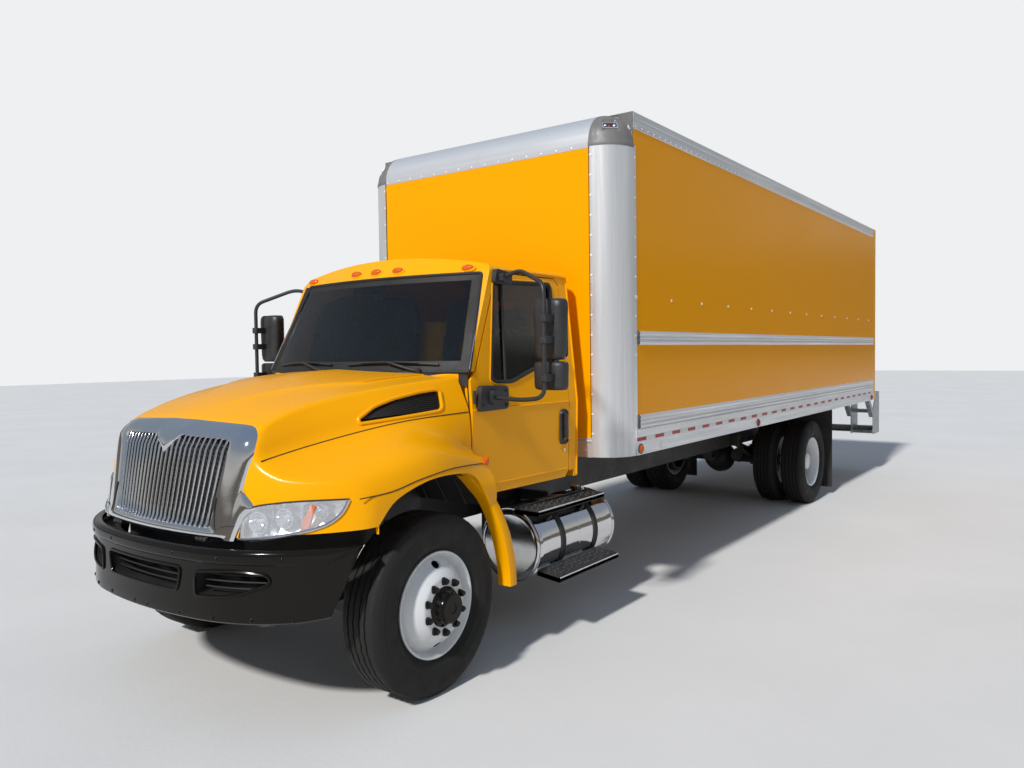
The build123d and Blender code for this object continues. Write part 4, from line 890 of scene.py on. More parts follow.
for outline in (centre_opening, side_opening, flipped(side_opening, -1)):
    cut_prism(bumper, outline, (-160, 320), "xz")
    ring = finely(outline, 20)
    bumper_trim_and_painted_shade.tube(on_bumper(ring + ring[:1], 11), 8, 8)
    # The walls and back of each opening's pocket are near-black: painted shade where the hollow lies in
    # shadow
    rows = []
    for k, depth in ((1.0, 16), (0.99, 90), (0.97, 140), (0.5, 146), (0.02, 146)):
        rows.append([(x, bumper_face(face_x) + depth, z)
                     for (face_x, _), (x, z) in zip(ring, scaled(ring, middle_of(ring), k))])
    bumper_trim_and_painted_shade.skin(rows, around=True, look=1)
for side in (1, -1):
    screws = on_bumper([(side * x, 616) for x in (60, 330, 560, 760, 930)], 8)
    screws += on_bumper([(side * x, 918) for x in (300, 600, 900)], 1)
    dots(bumper_trim_and_painted_shade, screws, AHEAD, 11, 0.4, 0, 12)
    # Near-black blocks between the pockets are painted shade too; the bars across the openings use the same
    # black
    pocket_x, pocket_s = (side * 340, side * 431), bumper_face(400) + 34
    bumper_trim_and_painted_shade.box(pocket_x, (pocket_s, 182), (840, 852), 1)
    bumper_trim_and_painted_shade.box(pocket_x, (pocket_s, pocket_s + 36), (750, 852), 1)
    for z in (756, 790, 824):
        for start, end in ((470, 811), (0, 341)):
            bumper_trim_and_painted_shade.tube(on_bumper([(side * x, z) for x in range(start, end, 34)], 64), 5, 8, 1)
# A near-black plate and sheet behind the bumper: painted shade
bumper_trim_and_painted_shade.box((-560, 560), (176, 184), (640, 1000), 1)
bumper_trim_and_painted_shade.skin([[(x, bumper_face(x) + 50 + k, 900 - k * 0.1) for x in range(-1000, 1001, 50)]
                  for k in (0, 120)], look=1)
settled(bumper, "chassis", ["front_bumper"])
piece("bumper_trim_and_painted_shade", bumper_trim_and_painted_shade, [black_gloss, black_parts_and_painted_shade], "chassis")

# Windscreen: curved glass with a printed border, its seal, trim, wipers and cowl


def screen_rows(low, high, side_gap, out, count=36, levels=8):
    """Points on the windscreen between two heights, drawn in at the sides."""
    rows = []
    for k in range(levels + 1):
        z = low + (high - low) * k / levels
        half = screen_half(z) - side_gap
        rows.append(on_screen([(half * (2 * i / count - 1), z) for i in range(count + 1)], out))
    return rows


def cowl_fall(x):
    """How far the cowl drops towards its ends."""
    return 34 * max(0, (abs(x) - 700) / 275)


glass_low, glass_high = screen_low + 1, screen_high - 1
shape = Shape()
shape.skin(screen_rows(glass_low, glass_high, 2, 0))
shape.skin(screen_rows(glass_low, glass_high, 2, -6))
piece("windscreen_glass", shape, [glass], "chassis", ["windscreen"])
shape = Shape()
shape.skin(screen_rows(glass_low, 1868, 3, 1.2, levels=2))
shape.skin(screen_rows(2388, glass_high, 3, 1.2, levels=2))
for side in (1, -1):
    edge_rows = []
    for k in range(9):
        z = glass_low + (glass_high - glass_low) * k / 8
        edge_rows.append(on_screen([(side * (screen_half(z) - d), z) for d in (3, 30, 62)], 1.4))
    shape.skin(edge_rows)
seal = [(-966, 1900)] + [(x, screen_low) for x in range(-966, 967, 92)] + [(870, screen_high)]
seal += [(x, screen_high) for x in range(780, -871, -92)] + [(-966, 1800)]
shape.tube(bend(on_screen(seal, 3), 20, 3), 10, 8)
piece("windscreen_border", shape, [black_parts_and_painted_shade], "chassis")
shape = Shape()
for side in (1, -1):
    shape.tube([(side * (screen_half(z) + 7), screen(966, z, 8) - 8, z) for z in (1815, 2000, 2200, 2420)],
               3.5, 8)
piece("windscreen_trim", shape, [chrome], "chassis")
cowl, wipers = Shape(), Shape()
cowl_line = range(-950, 951, 50)
rows = []
for k, z in ((0, 1786), (0.12, 1796), (0.5, 1802), (0.85, 1800), (1, 1806)):
    rows.append([(x, hood_end(x) + 18 + (screen(x, 1800, 6) - hood_end(x) - 18) * k,
                  z - cowl_fall(x) * (1 - k)) for x in cowl_line])
cowl.skin(rows)
cowl.skin([[(x, hood_end(x) + 18, z - cowl_fall(x)) for x in cowl_line] for z in (1786, 1740)])
for x in range(-840, 841, 42):
    s0 = hood_end(x) + 26
    cowl.box((x - 14, x + 14), (s0, s0 + 16), (1798, 1803.5), 1)
piece("cowl", cowl, [plastic, black_parts_and_painted_shade], "chassis")
for x0, x1, pivot in ((40, 760, 640), (-800, -90, -180)):
    blade = [(x, screen(x, 1846, 14), 1846 + 14 * math.sin((x - x0) / (x1 - x0) * math.pi))
             for x in range(x0, x1 + 1, 45)]
    wipers.tube(blade, 7, 8)
    wipers.tube([(x, s - 12, z + 5) for x, s, z in blade[3:-3]], 5, 8)
    x, s, z = blade[len(blade) // 2]
    arm = bend([(pivot, screen(pivot, 1800, 20), 1806), (pivot - 60, screen(pivot, 1812, 34), 1816),
                (x, s - 16, z + 4)], 30)
    wipers.tube(arm, [11] * 8 + [7], 8)
    wipers.turn([(0, 20), (22, 18), (26, 0.1)], (pivot, screen(pivot, 1800, 18), 1798), (0, -0.5, 1), 16)
piece("wipers", wipers, [plastic], "chassis")

# Roof: marker lamps on yellow bases and gutters over the doors
lamps, gutters = Shape(), Shape()
for x, z in ((-760, 2466), (-205, 2481), (0, 2482), (205, 2481), (760, 2466)):
    s = screen(x, 2448) + 0.9 * (z - 2448)
    for look, wide, high in ((1, 62, 13), (0, 52, 30)):
        rings = []
        for k, lift in ((1.0, -20), (1.0, 0), (0.92, 0.45), (0.7, 0.78), (0.4, 0.95), (0.02, 1.0)):
            rise = high * lift if lift >= 0 else lift
            tall = 26 * k * wide / 52
            rings.append([(x + wide * k * math.cos(t), s + 0.67 * tall * math.sin(t) - rise * 0.74,
                           z + 0.74 * tall * math.sin(t) + rise * 0.67) for t in turns(24)])
        lamps.skin(rings, around=True, look=look)
piece("marker_lamps", lamps, [amber, yellow], "chassis", ["roof_lamps"])
for side in (1, -1):
    eave = [(905, 1895, 2448), (912, 2000, 2461), (921, 2300, 2463), (929, 2600, 2460), (931, 2700, 2455)]
    gutters.tube(smooth_line(flipped(eave, side), 5), 7, 8)
    gutters.tube([(side * cab_side(cab_back, z), 2702, z) for z in (1020, 1300, belt_z, 1800, 2100, 2420)],
                 9, 8)
piece("cab_gutters", gutters, [yellow], "chassis")

# Doors: window seals with inner channels, handles, hinges, lock and edge seals
window = [(1748, 1748), (1850, 2378), (2500, 2398), (2512, 1812), (2232, 1803), (1965, 1722),
          (1800, 1728)]
door_edge = [(1545, 1016), (1545, 1745), (1606, 1808), (1892, 2436), (2550, 2436), (2600, 2385),
             (2600, 1060), (2560, 1016)]
window_middle = (2150, 2060)
crease_line = (1560, 1800, 2100, 2400, 2590)
handle_z = 1381
mirror_plan = rounded([(1251, 1815), (1290, 1790), (1440, 1789), (1479, 1815), (1479, 1886), (1251, 1886)],
                      26, 4)
mirror_shares = ((0, 0.80), (0.02, 0.9), (0.06, 0.97), (0.15, 1), (0.85, 1), (0.94, 0.97), (0.98, 0.9),
                 (1, 0.8))
for side, hand in SIDES:
    trim, rims, handle, gap = Shape(), Shape(), Shape(), Shape()
    ring = finely(rounded(window, 46), 45)
    inner = scaled(ring, window_middle, 0.965, 0.955)
    outer = scaled(ring, window_middle, 1.035, 1.045)
    trim.tube(on_cab(ring + ring[:1], -3, side), 12, 8)
    trim.skin([on_cab(ring, -2, side), on_cab(inner, -14, side), on_cab(inner, -40, side)], around=True)
    trim.tube(on_cab([(1905, 1735), (1945, 2382)], -13, side), 11, 8)
    rims.tube(on_cab(outer + outer[:1], -1, side), 6, 8)
    rims.tube(on_cab([(s, belt_z) for s in crease_line], 1, side), 5, 8)
    rims.tube(on_cab([(s, 1075) for s in crease_line], -1, side), 5, 8)
    cup = oblong((2482, 2584), (1254, 1508), 50, 8)
    handle.skin([[(side * x, s, z) for s, z in scaled(cup, (2533, handle_z), k, 1 - (1 - k) * 0.4)]
                 for x, k in ((1000, 1.0), (1016, 1.0), (1022, 0.96), (1021, 0.86), (1014, 0.8),
                              (1013, 0.02))], around=True)
    grip = oblong((2526, 2560), (1286, 1476), 16)
    handle.solid([[(side * x, s, z) for s, z in scaled(grip, (2543, handle_z), k)]
                  for x, k in ((1018, 0.9), (1028, 0.98), (1034, 0.96), (1037, 0.8))])
    handle.turn([(0, 13), (5, 12), (6, 0.1)], (side * 1014, 2533, 1216), (side, 0, 0), 16, 1)
    for z in (1180, 1640):
        handle.turn([(-40, 9), (40, 9), (42, 6), (42, 0.1)], (side * 985, 1560, z), UPWARD, 12)
    edge_ring = finely(rounded(door_edge, 26), 60)
    gap.tube([(side * (cab_side(s, z) - 22), s - 4 if s < 1700 else s + 5, z)
              for s, z in edge_ring + edge_ring[:1]], 4, 6)
    door = f"door_{hand}"
    piece(f"door_seal_{hand}", trim, [black_parts_and_painted_shade], door)
    piece(f"door_creases_{hand}", rims, [yellow], door)
    piece(f"door_handle_{hand}", handle, [plastic, chrome], door, bevel=1.5)
    piece(f"door_gap_{hand}", gap, [black_parts_and_painted_shade], door)

    # Mirrors: rounded heads with glass, bent arms, clamps and bolted bases
    head, glassy = Shape(), Shape()
    arm = [(955, 1905, 2405), (1110, 1880, 2440), (1401, 1717, 2330), (1401, 1717, 1640),
           (1240, 1720, 1620), (990, 1730, 1632)]
    head.tube(bend(flipped(arm, side), 70), 14, 14)
    for (z0, z1), taper in (((1867, 2242), 0.84), ((1680, 1856), 0.95)):
        rows = []
        for t, grow in mirror_shares:
            width = grow * (taper + (1 - taper) * min(1, t / 0.35))
            rows.append([(side * x, s, z0 + (z1 - z0) * t)
                         for x, s in scaled(mirror_plan, (1365, 1880), width, grow)])
        head.solid(rows)
        face = oblong((1266, 1464), (z0 + 14, z1 - 14), 22, 4)
        head.prism(flipped(face, side), (1884, 1888), "xz")
        face = oblong((1274, 1456), (z0 + 22, z1 - 22), 18, 4)
        glassy.prism(flipped(face, side), (1886, 1889), "xz")
    for z in (1760, 1990, 2120):
        clamp = oblong((1374, 1428), (1695, 1800), 14, 3)
        head.prism(flipped(clamp, side), (z - 22, z + 22), "xs")
        dots(head, [(side * 1401, 1695, z)], AHEAD, 8)
    base = rounded([(1575, 1548), (1882, 1552), (1882, 1700), (1600, 1712)], 34)
    head.prism(base, (side * 962, side * 1010), "sz")
    head.prism(oblong((1680, 1790), (1590, 1680), 20), (side * 1005, side * 1034), "sz")
    for s, z in ((1612, 1590), (1850, 1580), (1846, 1672)):
        head.turn([(0, 12), (4, 12), (5, 7), (-3, 6), (-3, 0.1)], (side * 1010, s, z), (side, 0, 0), 12, 1)
    base = rounded([(1825, 2364), (2018, 2364), (2018, 2440), (1850, 2462)], 24)
    head.prism(base, (side * 900, side * 950), "sz")
    head.prism(oblong((1870, 1945), (2376, 2430), 12), (side * 945, side * 985), "sz")
    piece(f"mirror_casing_{hand}", head, [plastic, black_parts_and_painted_shade], door,
          [f"mirror_{hand}"], bevel=4, crease=38)
    piece(f"mirror_glass_{hand}", glassy, [chrome], door)


# Wheels: ribbed tyres with ringed sidewalls
def tyre(x, side, station, lugs):
    """A tyre whose outward side faces away from the truck's middle."""
    half_side = [(98, 289), (101, 300), (103, 313), (112, 326), (126, 343), (127.5, 346), (129, 346),
                 (134, 368), (138, 392), (139, 396), (138.5, 402), (137.5, 425), (135.5, 440), (136, 443),
                 (134.5, 447), (131, 462), (130.5, 466), (124, 480), (119, 488), (115, 494), (108, 503),
                 (101, 507.5), (92, 509.0)]
    ribs = []
    for place in (62, 22, -22, -62):
        ribs += [(place + 6, 509.7), (place + 3.5, 497), (place - 3.5, 497), (place - 6, 509.7)]
    profile = ([(a, r, 0) for a, r in half_side] + [(a, r, 1) for a, r in ribs]
               + [(-a, r, 0) for a, r in reversed(half_side)])
    steps = 168
    rows = []
    for i in range(steps):
        t = 2 * math.pi * i / steps
        wave = (0, 2.4, 0, -2.4)[i % 4]
        row = []
        for a, r, rib in profile:
            if rib:
                a += wave
            elif abs(a) > 99 and r > 470 and lugs and i % 6 in (0, 1):
                r -= 9 * min(1, (abs(a) - 90) / 20)
            elif r > 503 and abs(a) > 90 and not lugs and i % 3 == 0:
                r -= 2.5
            row.append((side * (x + a), station + r * math.cos(t), hub_z + r * math.sin(t)))
        rows.append(row)
    shape = Shape()
    shape.skin([list(column) for column in zip(*rows)], around=True)
    return shape


for side, hand in SIDES:
    piece(f"tyre_front_{hand}_tread", tyre(front_wheel_x, side, front_axle_station, False), [rubber],
          f"wheel_front_{hand}", [f"tyre_front_{hand}"], crease=38)
    for x, place in ((rear_outer_x, "outer"), (rear_inner_x, "inner")):
        piece(f"tyre_rear_{hand}_{place}_tread", tyre(x, side, rear_axle_station, True), [rubber],
              f"wheels_rear_{hand}", [f"tyre_rear_{hand}_{place}"], crease=38)

# Rims: a dished disc with real hand holes, flanges, nuts under dark covers and a hub
rim_outer = [(113, 296), (110, 300), (100, 299), (98, 288), (80, 284), (40, 268)]
rim_inner = [(112, 290), (100, 281), (78, 276), (44, 261)]
rim_section = ([(-a, r) for a, r in rim_outer] + rim_outer[::-1] + rim_inner
               + [(-a, r) for a, r in rim_inner[::-1]])
front_dish = [(40, 266), (58, 268), (64, 257), (80, 246), (104, 228), (128, 203), (144, 182), (153, 168),
              (158, 160), (160, 150), (160, 60), (150, 60), (150, 150), (148, 160), (134, 182),
              (118, 200), (94, 224), (70, 242), (54, 252), (40, 256)]
rear_dish = [(-40, 266), (-58, 268), (-66, 257), (-84, 244), (-108, 222), (-132, 198), (-150, 178),
             (-160, 166), (-160, 90), (-170, 90), (-170, 168), (-160, 182), (-142, 205), (-116, 230),
             (-90, 252), (-60, 276)]
nut_circle = 142.9


def rims(body, replaced, side, station, discs, count):
    """Rims with dished discs, each with a ring of oval hand holes, from (x, dish, span of the holes)."""
    shape = Shape()
    for x, dish, _ in discs:
        for profile in (rim_section, dish):
            shape.turn([(side * a, r) for a, r in profile + profile[:1]], (side * x, station, hub_z),
                       (1, 0, 0), 96)
    thing = mesh_object("rim", shape, [white_gloss], 30)
    for x, _, (x0, x1) in discs:
        for t in turns(count, math.pi / 2):
            ring = []
            for a in turns(20):
                out, along = 226 + 19 * math.cos(a), 31 * math.sin(a)
                ring.append((station + out * math.cos(t) - along * math.sin(t),
                             hub_z + out * math.sin(t) + along * math.cos(t)))
            cut_prism(thing, ring, (side * (x + x0), side * (x + x1)), "sz")
    settled(thing, body, [replaced])


def nuts(shape, x, side, station, look):
    """A ring of lobed covers over the wheel nuts."""
    for t in turns(10, math.pi / 2):
        s, z = station + nut_circle * math.cos(t), hub_z + nut_circle * math.sin(t)
        rows = []
        for lift, k in ((0, 1.15), (8, 1.15), (10, 0.95), (26, 0.9), (31, 0.7), (32, 0.02)):
            lobes = [(a, 19 * k * (1 + 0.12 * math.cos(3 * a))) for a in turns(18)]
            rows.append([(side * (x + lift), s + r * math.cos(a), z + r * math.sin(a)) for a, r in lobes])
        shape.skin(rows, around=True, look=look)


def hub_screws(shape, x, side, station, circle, count, size, look):
    """A ring of screw heads on a hub's end."""
    dots(shape, [(side * x, station + circle * math.cos(t), hub_z + circle * math.sin(t))
                 for t in turns(count)], (side, 0, 0), size, look=look)


inner_dish = [(-a, r) for a, r in rear_dish]
for side, hand in SIDES:
    out, front_body, rear_body = (side, 0, 0), f"wheel_front_{hand}", f"wheels_rear_{hand}"
    rims(front_body, f"rim_front_{hand}", side, front_axle_station,
         [(front_wheel_x, front_dish, (60, 145))], 2)
    hub = Shape()
    centre = (side * front_wheel_x, front_axle_station, hub_z)
    hub.turn([(-45, 40), (-45, 85), (60, 95), (150, 112), (163, 112), (170, 104), (176, 92), (200, 90),
              (208, 84), (222, 82), (228, 74), (228, 30), (222, 26), (222, 0.1)], centre, out, 48, 0)
    hub.turn([(-60, 200), (-60, 250), (30, 250), (30, 90)], centre, out, 48, 1)
    nuts(hub, front_wheel_x + 160, side, front_axle_station, 0)
    hub_screws(hub, front_wheel_x + 206, side, front_axle_station, 86, 6, 7, 0)
    piece(f"hub_front_{hand}", hub, [black_gloss, cast], front_body)
    rims(rear_body, f"rims_rear_{hand}", side, rear_axle_station,
         [(rear_outer_x, rear_dish, (-165, -60)), (rear_inner_x, inner_dish, (60, 165))], 5)
    hub = Shape()
    centre = (side * rear_hub_x, rear_axle_station, hub_z)
    hub.turn([(-75, 64), (-75, 120), (12, 120), (20, 112), (60, 104), (150, 100), (205, 96), (212, 100),
              (226, 100), (232, 92), (240, 74), (240, 0.1)], centre, out, 48, 0)
    hub.turn([(-330, 200), (-330, 240), (-190, 240), (-190, 90)], centre, out, 48, 1)
    hub_screws(hub, rear_hub_x + 226, side, rear_axle_station, 88, 8, 8, 2)
    nuts(hub, rear_hub_x + 10, side, rear_axle_station, 2)
    piece(f"hub_rear_{hand}", hub, [white_gloss, cast, black_gloss], rear_body)

# Load body: rounded corner posts and header, moulded corner caps with lamp pockets
for name in ("box_front_wall", "box_left_wall", "box_right_wall"):
    nodes[name].data.materials[0] = yellow_panel
corner_x = half_body - corner_radius
corner_station = body_front + corner_radius
corner_z = body_top - corner_radius
cap_radius = 243.5
post_radius = 246.5
post_face = half_body + 3
post_end = 3134
quarter = [math.pi / 2 * i / 32 for i in range(33)]
posts, header, caps = Shape(), Shape(), Shape()
for side in (1, -1):
    plan = [(1050, 2861), (1050, front_sheet), (1064, front_sheet)]
    plan += [(corner_x + post_radius * math.sin(a), corner_station - post_radius * math.cos(a))
             for a in [math.radians(8 + 74 * k / 24) for k in range(25)]]
    plan += [(1287.5, 3094), (1287.5, post_end), (1282, post_end)]
    posts.skin([[(side * x, s, z) for x, s in plan] for z in (1127, 1700, 2300, 2900, 3440)])
    for z in (1127, 1290):
        posts.skin([[(side * x * 1.0012, s - 1.2, z + dz) for x, s in plan[2:-2]] for dz in (0, 10)])
    rows, skirt = [], []
    for z, reach in ((3424, cap_radius + 5.5), (3430, cap_radius + 6.5), (3446, cap_radius + 6.5),
                     (3456, cap_radius + 3)):
        skirt.append([(side * (corner_x + reach * math.sin(a)), corner_station - reach * math.cos(a), z)
                      for a in quarter])
    for i, tilt in enumerate(quarter):
        row = []
        for j, swing in enumerate(quarter):
            reach = cap_radius
            pocket = max(abs(math.degrees(swing) - 42) / 17, abs(math.degrees(tilt) - 34) / 13)
            if pocket < 1:
                reach -= 15 * min(1, (1 - pocket) * 6)
            if i > 2 and j in (4, 28):
                reach -= 2.5
            row.append((side * (corner_x + reach * math.cos(tilt) * math.sin(swing)),
                        corner_station - reach * math.cos(tilt) * math.cos(swing),
                        corner_z + reach * math.sin(tilt)))
        rows.append(row)
    caps.skin(skirt + rows[2:])
    square = []
    for tilt in quarter:
        grow = cap_radius / max(math.cos(tilt), math.sin(tilt))
        square.append((side * (corner_x + grow * math.cos(tilt)), corner_z + grow * math.sin(tilt)))
    caps.skin([[(row[-1][0], corner_station + 1, row[-1][2]) for row in rows],
               [(x, corner_station - 6, z) for x, z in square],
               [(x, corner_station + 30, z) for x, z in square]])
    tilt, swing = 0.59, 0.73
    axis = Vector((side * math.cos(tilt) * math.sin(swing), -math.cos(tilt) * math.cos(swing),
                   math.sin(tilt)))
    spot = Vector((side * corner_x, corner_station, corner_z)) + axis * 228
    level = axis.cross(Vector(UPWARD)).normalized()
    rise_way = level.cross(axis)
    frame_line = oblong((-60, 60), (-28, 28), 12)
    caps.skin([[spot + level * a * k + rise_way * b * (1 - (1 - k) * 1.6) + axis * out
                for a, b in frame_line]
               for k, out in ((1, -14), (1, 5), (0.97, 8), (0.86, 8), (0.84, 1), (0.7, 0))],
              around=True, look=2)
    caps.add([spot + level * a * 0.84 + rise_way * b * 0.74 + axis * 1.5 for a, b in frame_line],
             [tuple(range(len(frame_line)))], 3)
    for k in (-34, 0, 34):
        caps.turn([(0, 12), (6, 11), (9, 6), (10, 0.1)], spot + level * k, axis, 16, 1 if k == 0 else 2)
arc = [math.radians(90 * k / 20) for k in range(1, 21)]
profile = [(2861, 3412), (front_sheet, 3414), (front_sheet, 3446)]
profile += [(corner_station - cap_radius * math.cos(a), corner_z + cap_radius * math.sin(a)) for a in arc]
profile += [(3128, 3689.5), (3128, 3684)]
header.skin([[(x, s, z) for s, z in profile] for x in range(-1041, 1042, 347)])
header.skin([[(x, s - 1.5, z) for s, z in profile[2:8]] for x in (-3, 3)])
rivets = Shape()
dots(rivets, [(x, 2855, 3430) for x in range(-1020, 1021, 137)], AHEAD, 10)
for side in (1, -1):
    out = (side, 0, 0)
    dots(rivets, [(side * 1058, 2855, z) for z in range(1300, 3420, 147)], AHEAD, 11)
    dots(rivets, [(side * post_face, post_end - 16, z) for z in range(1440, 3420, 147)], out, 10)
    panel_seams = [body_front + 272 + panel_pitch * i for i in range(13)]
    dots(rivets, [(side * (post_face if s < post_end else half_body), s, 2316) for s in panel_seams],
         out, 13)
    for x, z, start, step, size in ((post_face, 3584, 3140, 100, 9), (rail_face, 1302, 3150, 100, 7),
                                    (rail_face, 1200, 3190, 305, 8),
                                    (rail_face, rub_rails[0] + 37, 3240, 305, 7),
                                    (rail_face, rub_rails[1] + 37, 3240, 305, 7)):
        dots(rivets, [(side * x, s, z) for s in range(start, 10700, step)], out, size)
dots(rivets, [(x, 2855, 1180) for x in range(-990, 991, 165)], AHEAD, 8)
header.prism([(2861, 1122), (front_sheet, 1124), (front_sheet, 1270), (2861, 1273)], (-1050, 1050), "sz")
header.prism([(front_sheet, 1230), (2851, 1234), (2851, 1252), (front_sheet, 1256)], (-1050, 1050), "sz")
piece("corner_posts", posts, [aluminium_z], "chassis",
      ["corner_post_left", "corner_post_right"], crease=50)
piece("header_band", header, [aluminium_x], "chassis", ["front_header"], crease=50)
piece("corner_caps", caps, [cap_grey, red_lens, chrome_dull, black_parts_and_painted_shade], "chassis",
      crease=24)
piece("body_rivets", rivets, [rivet_metal], "chassis")

# Side rails: ribbed rub rails with end caps, top and bottom rails, reflecting tape and markers
rub = [(1282, 0), (1290, 0), (1298.5, 11), (1300, 20), (1296.5, 28), (1296.5, 44), (1300, 50),
       (1300, 56), (1296.5, 62), (1296.5, 76), (1300, 84), (1298.5, 93), (1290, 104), (1282, 104)]
low = [(1282, 1128), (1299, 1128), (1299, 1140), (1296, 1144), (1296, 1224), (1293.5, 1228),
       (1293.5, 1263), (1296, 1267), (1296, 1318), (1290, 1324), (1282, 1324)]
top = [(1240, body_top), (1284, body_top), (1288, 3685), (1288, 3646), (1286, 3642), (1286, 3606),
       (1288, 3602), (1288, 3570), (1284, 3565), (1240, 3565)]
for side, hand in SIDES:
    rails, marks = Shape(), Shape()
    for base in rub_rails:
        rails.prism([(side * x, base + z) for x, z in rub], (3158, 10722), "xz")
        marks.solid([[(side * x, s, base + z) for x, z in scaled(rub, (1282, 52), k)]
                     for s, k in ((3138, 0.7), (3144, 0.95), (3160, 1.03))], 3)
    rails.prism(flipped(low, side), (3102, 10722), "xz")
    rails.prism(flipped(top, side), (3102, 10722), "xz")
    piece(f"rails_{hand}", rails, [aluminium], "chassis", [f"side_rails_{hand}"], crease=24)
    for i in range(50):
        s = 3112 + i * 152
        marks.box((side * 1293, side * 1294.6), (s, s + 150), (1232, 1259), i % 2)
    for s, look in ((3164, 2), (5720, 4), (10600, 4)):
        spot, out = (side * rail_face, s, 1172), (side, 0, 0)
        marks.turn([(0, 34), (3, 34), (6, 28), (16, 24), (22, 12), (23, 0.1)], spot, out, 24, look)
        marks.turn([(0, 40), (4, 40), (5, 33)], spot, out, 24, 3)
    marks.box((side * rail_face, side * 1299), (3476, 3536), (1144, 1202), 5)
    piece(f"rail_marks_{hand}", marks, [tape_red, tape_white, amber, grey_plastic, red_lens, chrome_dull],
          "chassis")

# Back of the body: door hinges and latch, lamps, edge angles and a blank plate
back, glow, plate = Shape(), Shape(), Shape()
back_face = body_back + 1
for index in range(1, 8):
    z = 1238 + index * 280
    for x in (-1080, -560, 0, 560, 1080):
        back.box((x - 28, x + 28), (10760, 10766), (z - 34, z + 34))
        back.turn([(-30, 6), (30, 6), (30, 0.1)], (x, 10766, z), (1, 0, 0), 10)
    back.box((-1180, 1180), (10761, 10764), (z + 9, z + 15))
for side in (1, -1):
    back.box((side * 1150, side * 1182), (10745, 10790), (1240, 3495))
    grab = [(back_face, 1500), (back_face + 50, 1520), (back_face + 50, 1880), (back_face, 1900)]
    back.tube(bend([(side * 1232, s, z) for s, z in grab], 30), 12, 10)
    for z, look in ((1400, 0), (1340, 1)):
        glow.skin([[(side * 1236 + wide * math.cos(t), back_face + out, z + 20 * wide / 34 * math.sin(t))
                    for t in turns(24)] for out, wide in ((0, 38), (4, 37), (6, 33), (10, 26), (13, 1))],
                  around=True, look=look)
    glow.box((side * 1200, side * 1266), (body_back, 10885), (3200, 3400), 2)
for x in (-180, 0, 180, -1150, 1150):
    glow.turn([(0, 34), (6, 32), (11, 18), (12, 0.1)], (x, back_face, 3600), REARWARD, 24)
back.box((-110, 110), (10778, 10786), (1290, 1370))
back.box((-24, 24), (10782, 10792), (1230, 1330))
back.tube(bend([(-80, 10786, 1330), (-80, 10790, 1350), (80, 10790, 1350), (80, 10786, 1330)], 10), 3, 8)
piece("rear_door_fittings", back, [galvanised], "chassis", bevel=1)
piece("rear_lamps", glow, [red_lens, amber, tape_white], "chassis")
plate.box((-152, 152), (11152, 11162), (1152, 1222), 0)
plate.box((-146, 146), (11161, 11162.5), (1158, 1216), 1)
piece("plate_holder", plate, [plastic, white_gloss], "chassis", bevel=2)
grip = Shape()
for side in (1, -1):
    for z in (640, 955):
        for i in range(5):
            for j in range(4):
                grip.turn([(0, 17), (3, 16), (3, 10), (-2, 9), (-2, 0.1)],
                          (side * (1000 + i * 60), 10930 + j * 62, z), UPWARD, 10)
for x in range(-1200, 1201, 100):
    for s in (10950, 11020, 11090):
        grip.turn([(0, 15), (2.5, 13), (2.5, 9), (-2, 8), (-2, 0.1)], (x, s, 1238), UPWARD, 8)
piece("rear_step_grips", grip, [galvanised], "chassis")

# Fuel tank with end rims, weld and straps; perforated treads and step brackets
tank, treads, straps = Shape(), Shape(), Shape()
end_curve = [(0, 0.1), (0, 190), (0, 200), (0, 214), (4, 232), (14, 243), (26, 250), (36, 254.5),
             (40, tank_radius)]
profile = [(2050 + a, r) for a, r in end_curve] + [(s, tank_radius) for s in (2200, 2540, 2543)]
profile += [(2545, 257), (2549, 257)] + [(s, tank_radius) for s in (2551, 2700, 2900)]
profile += [(3040 - a, r) for a, r in reversed(end_curve)]
tank.turn(profile, (tank_x, 0, tank_z), REARWARD, 72)
for s in (2064, 3026):
    tank.turn([(-7, 246), (-7, 252), (7, 258), (7, 246)], (tank_x, s, tank_z), REARWARD, 72, close=True)
neck_x, neck_station = 900, 2880
tank.turn([(-60, 42), (84, 42), (84, 52), (112, 54), (120, 48), (121, 0.1)], (neck_x, neck_station, 790),
          UPWARD, 32)
for t in turns(6):
    x, s = neck_x + 50 * math.cos(t), neck_station + 50 * math.sin(t)
    tank.box((x - 5, x + 5), (s - 5, s + 5), (876, 902))
tank.turn([(0, 22), (16, 20), (18, 0.1)], (tank_x, 2052, 520), AHEAD, 16)
piece("tank_shell", tank, [polished], "chassis", ["fuel_tank"], crease=30)
for s in (2330, 2760):
    centre, band = (tank_x, s, tank_z), (s - 24, s + 24)
    straps.turn([(-26, 256), (-26, 261), (-22, 263), (22, 263), (26, 261), (26, 256)], centre, REARWARD, 72)
    straps.turn([(-20, 263), (-20, 266), (20, 266), (20, 263)], centre, REARWARD, 72, 1)
    straps.box((frame_rail_x, 700), (s - 26, s + 26), (780, 850))
    straps.box((frame_rail_x, 480), (s - 30, s + 30), (560, 850))
    straps.prism([(frame_rail_x, 560), (660, 560), (640, 620), (frame_rail_x, 640)], band, "xz")
    straps.prism([(980, 768), (1110, 830), (1130, 852), (960, 852)], band, "xz")
    straps.prism([(955, 372), (1235, 428), (1235, 452), (980, 452), (948, 400)], band, "xz")
    straps.turn([(-40, 9), (40, 9), (40, 0.1)], (1132, s, 610), UPWARD, 12)
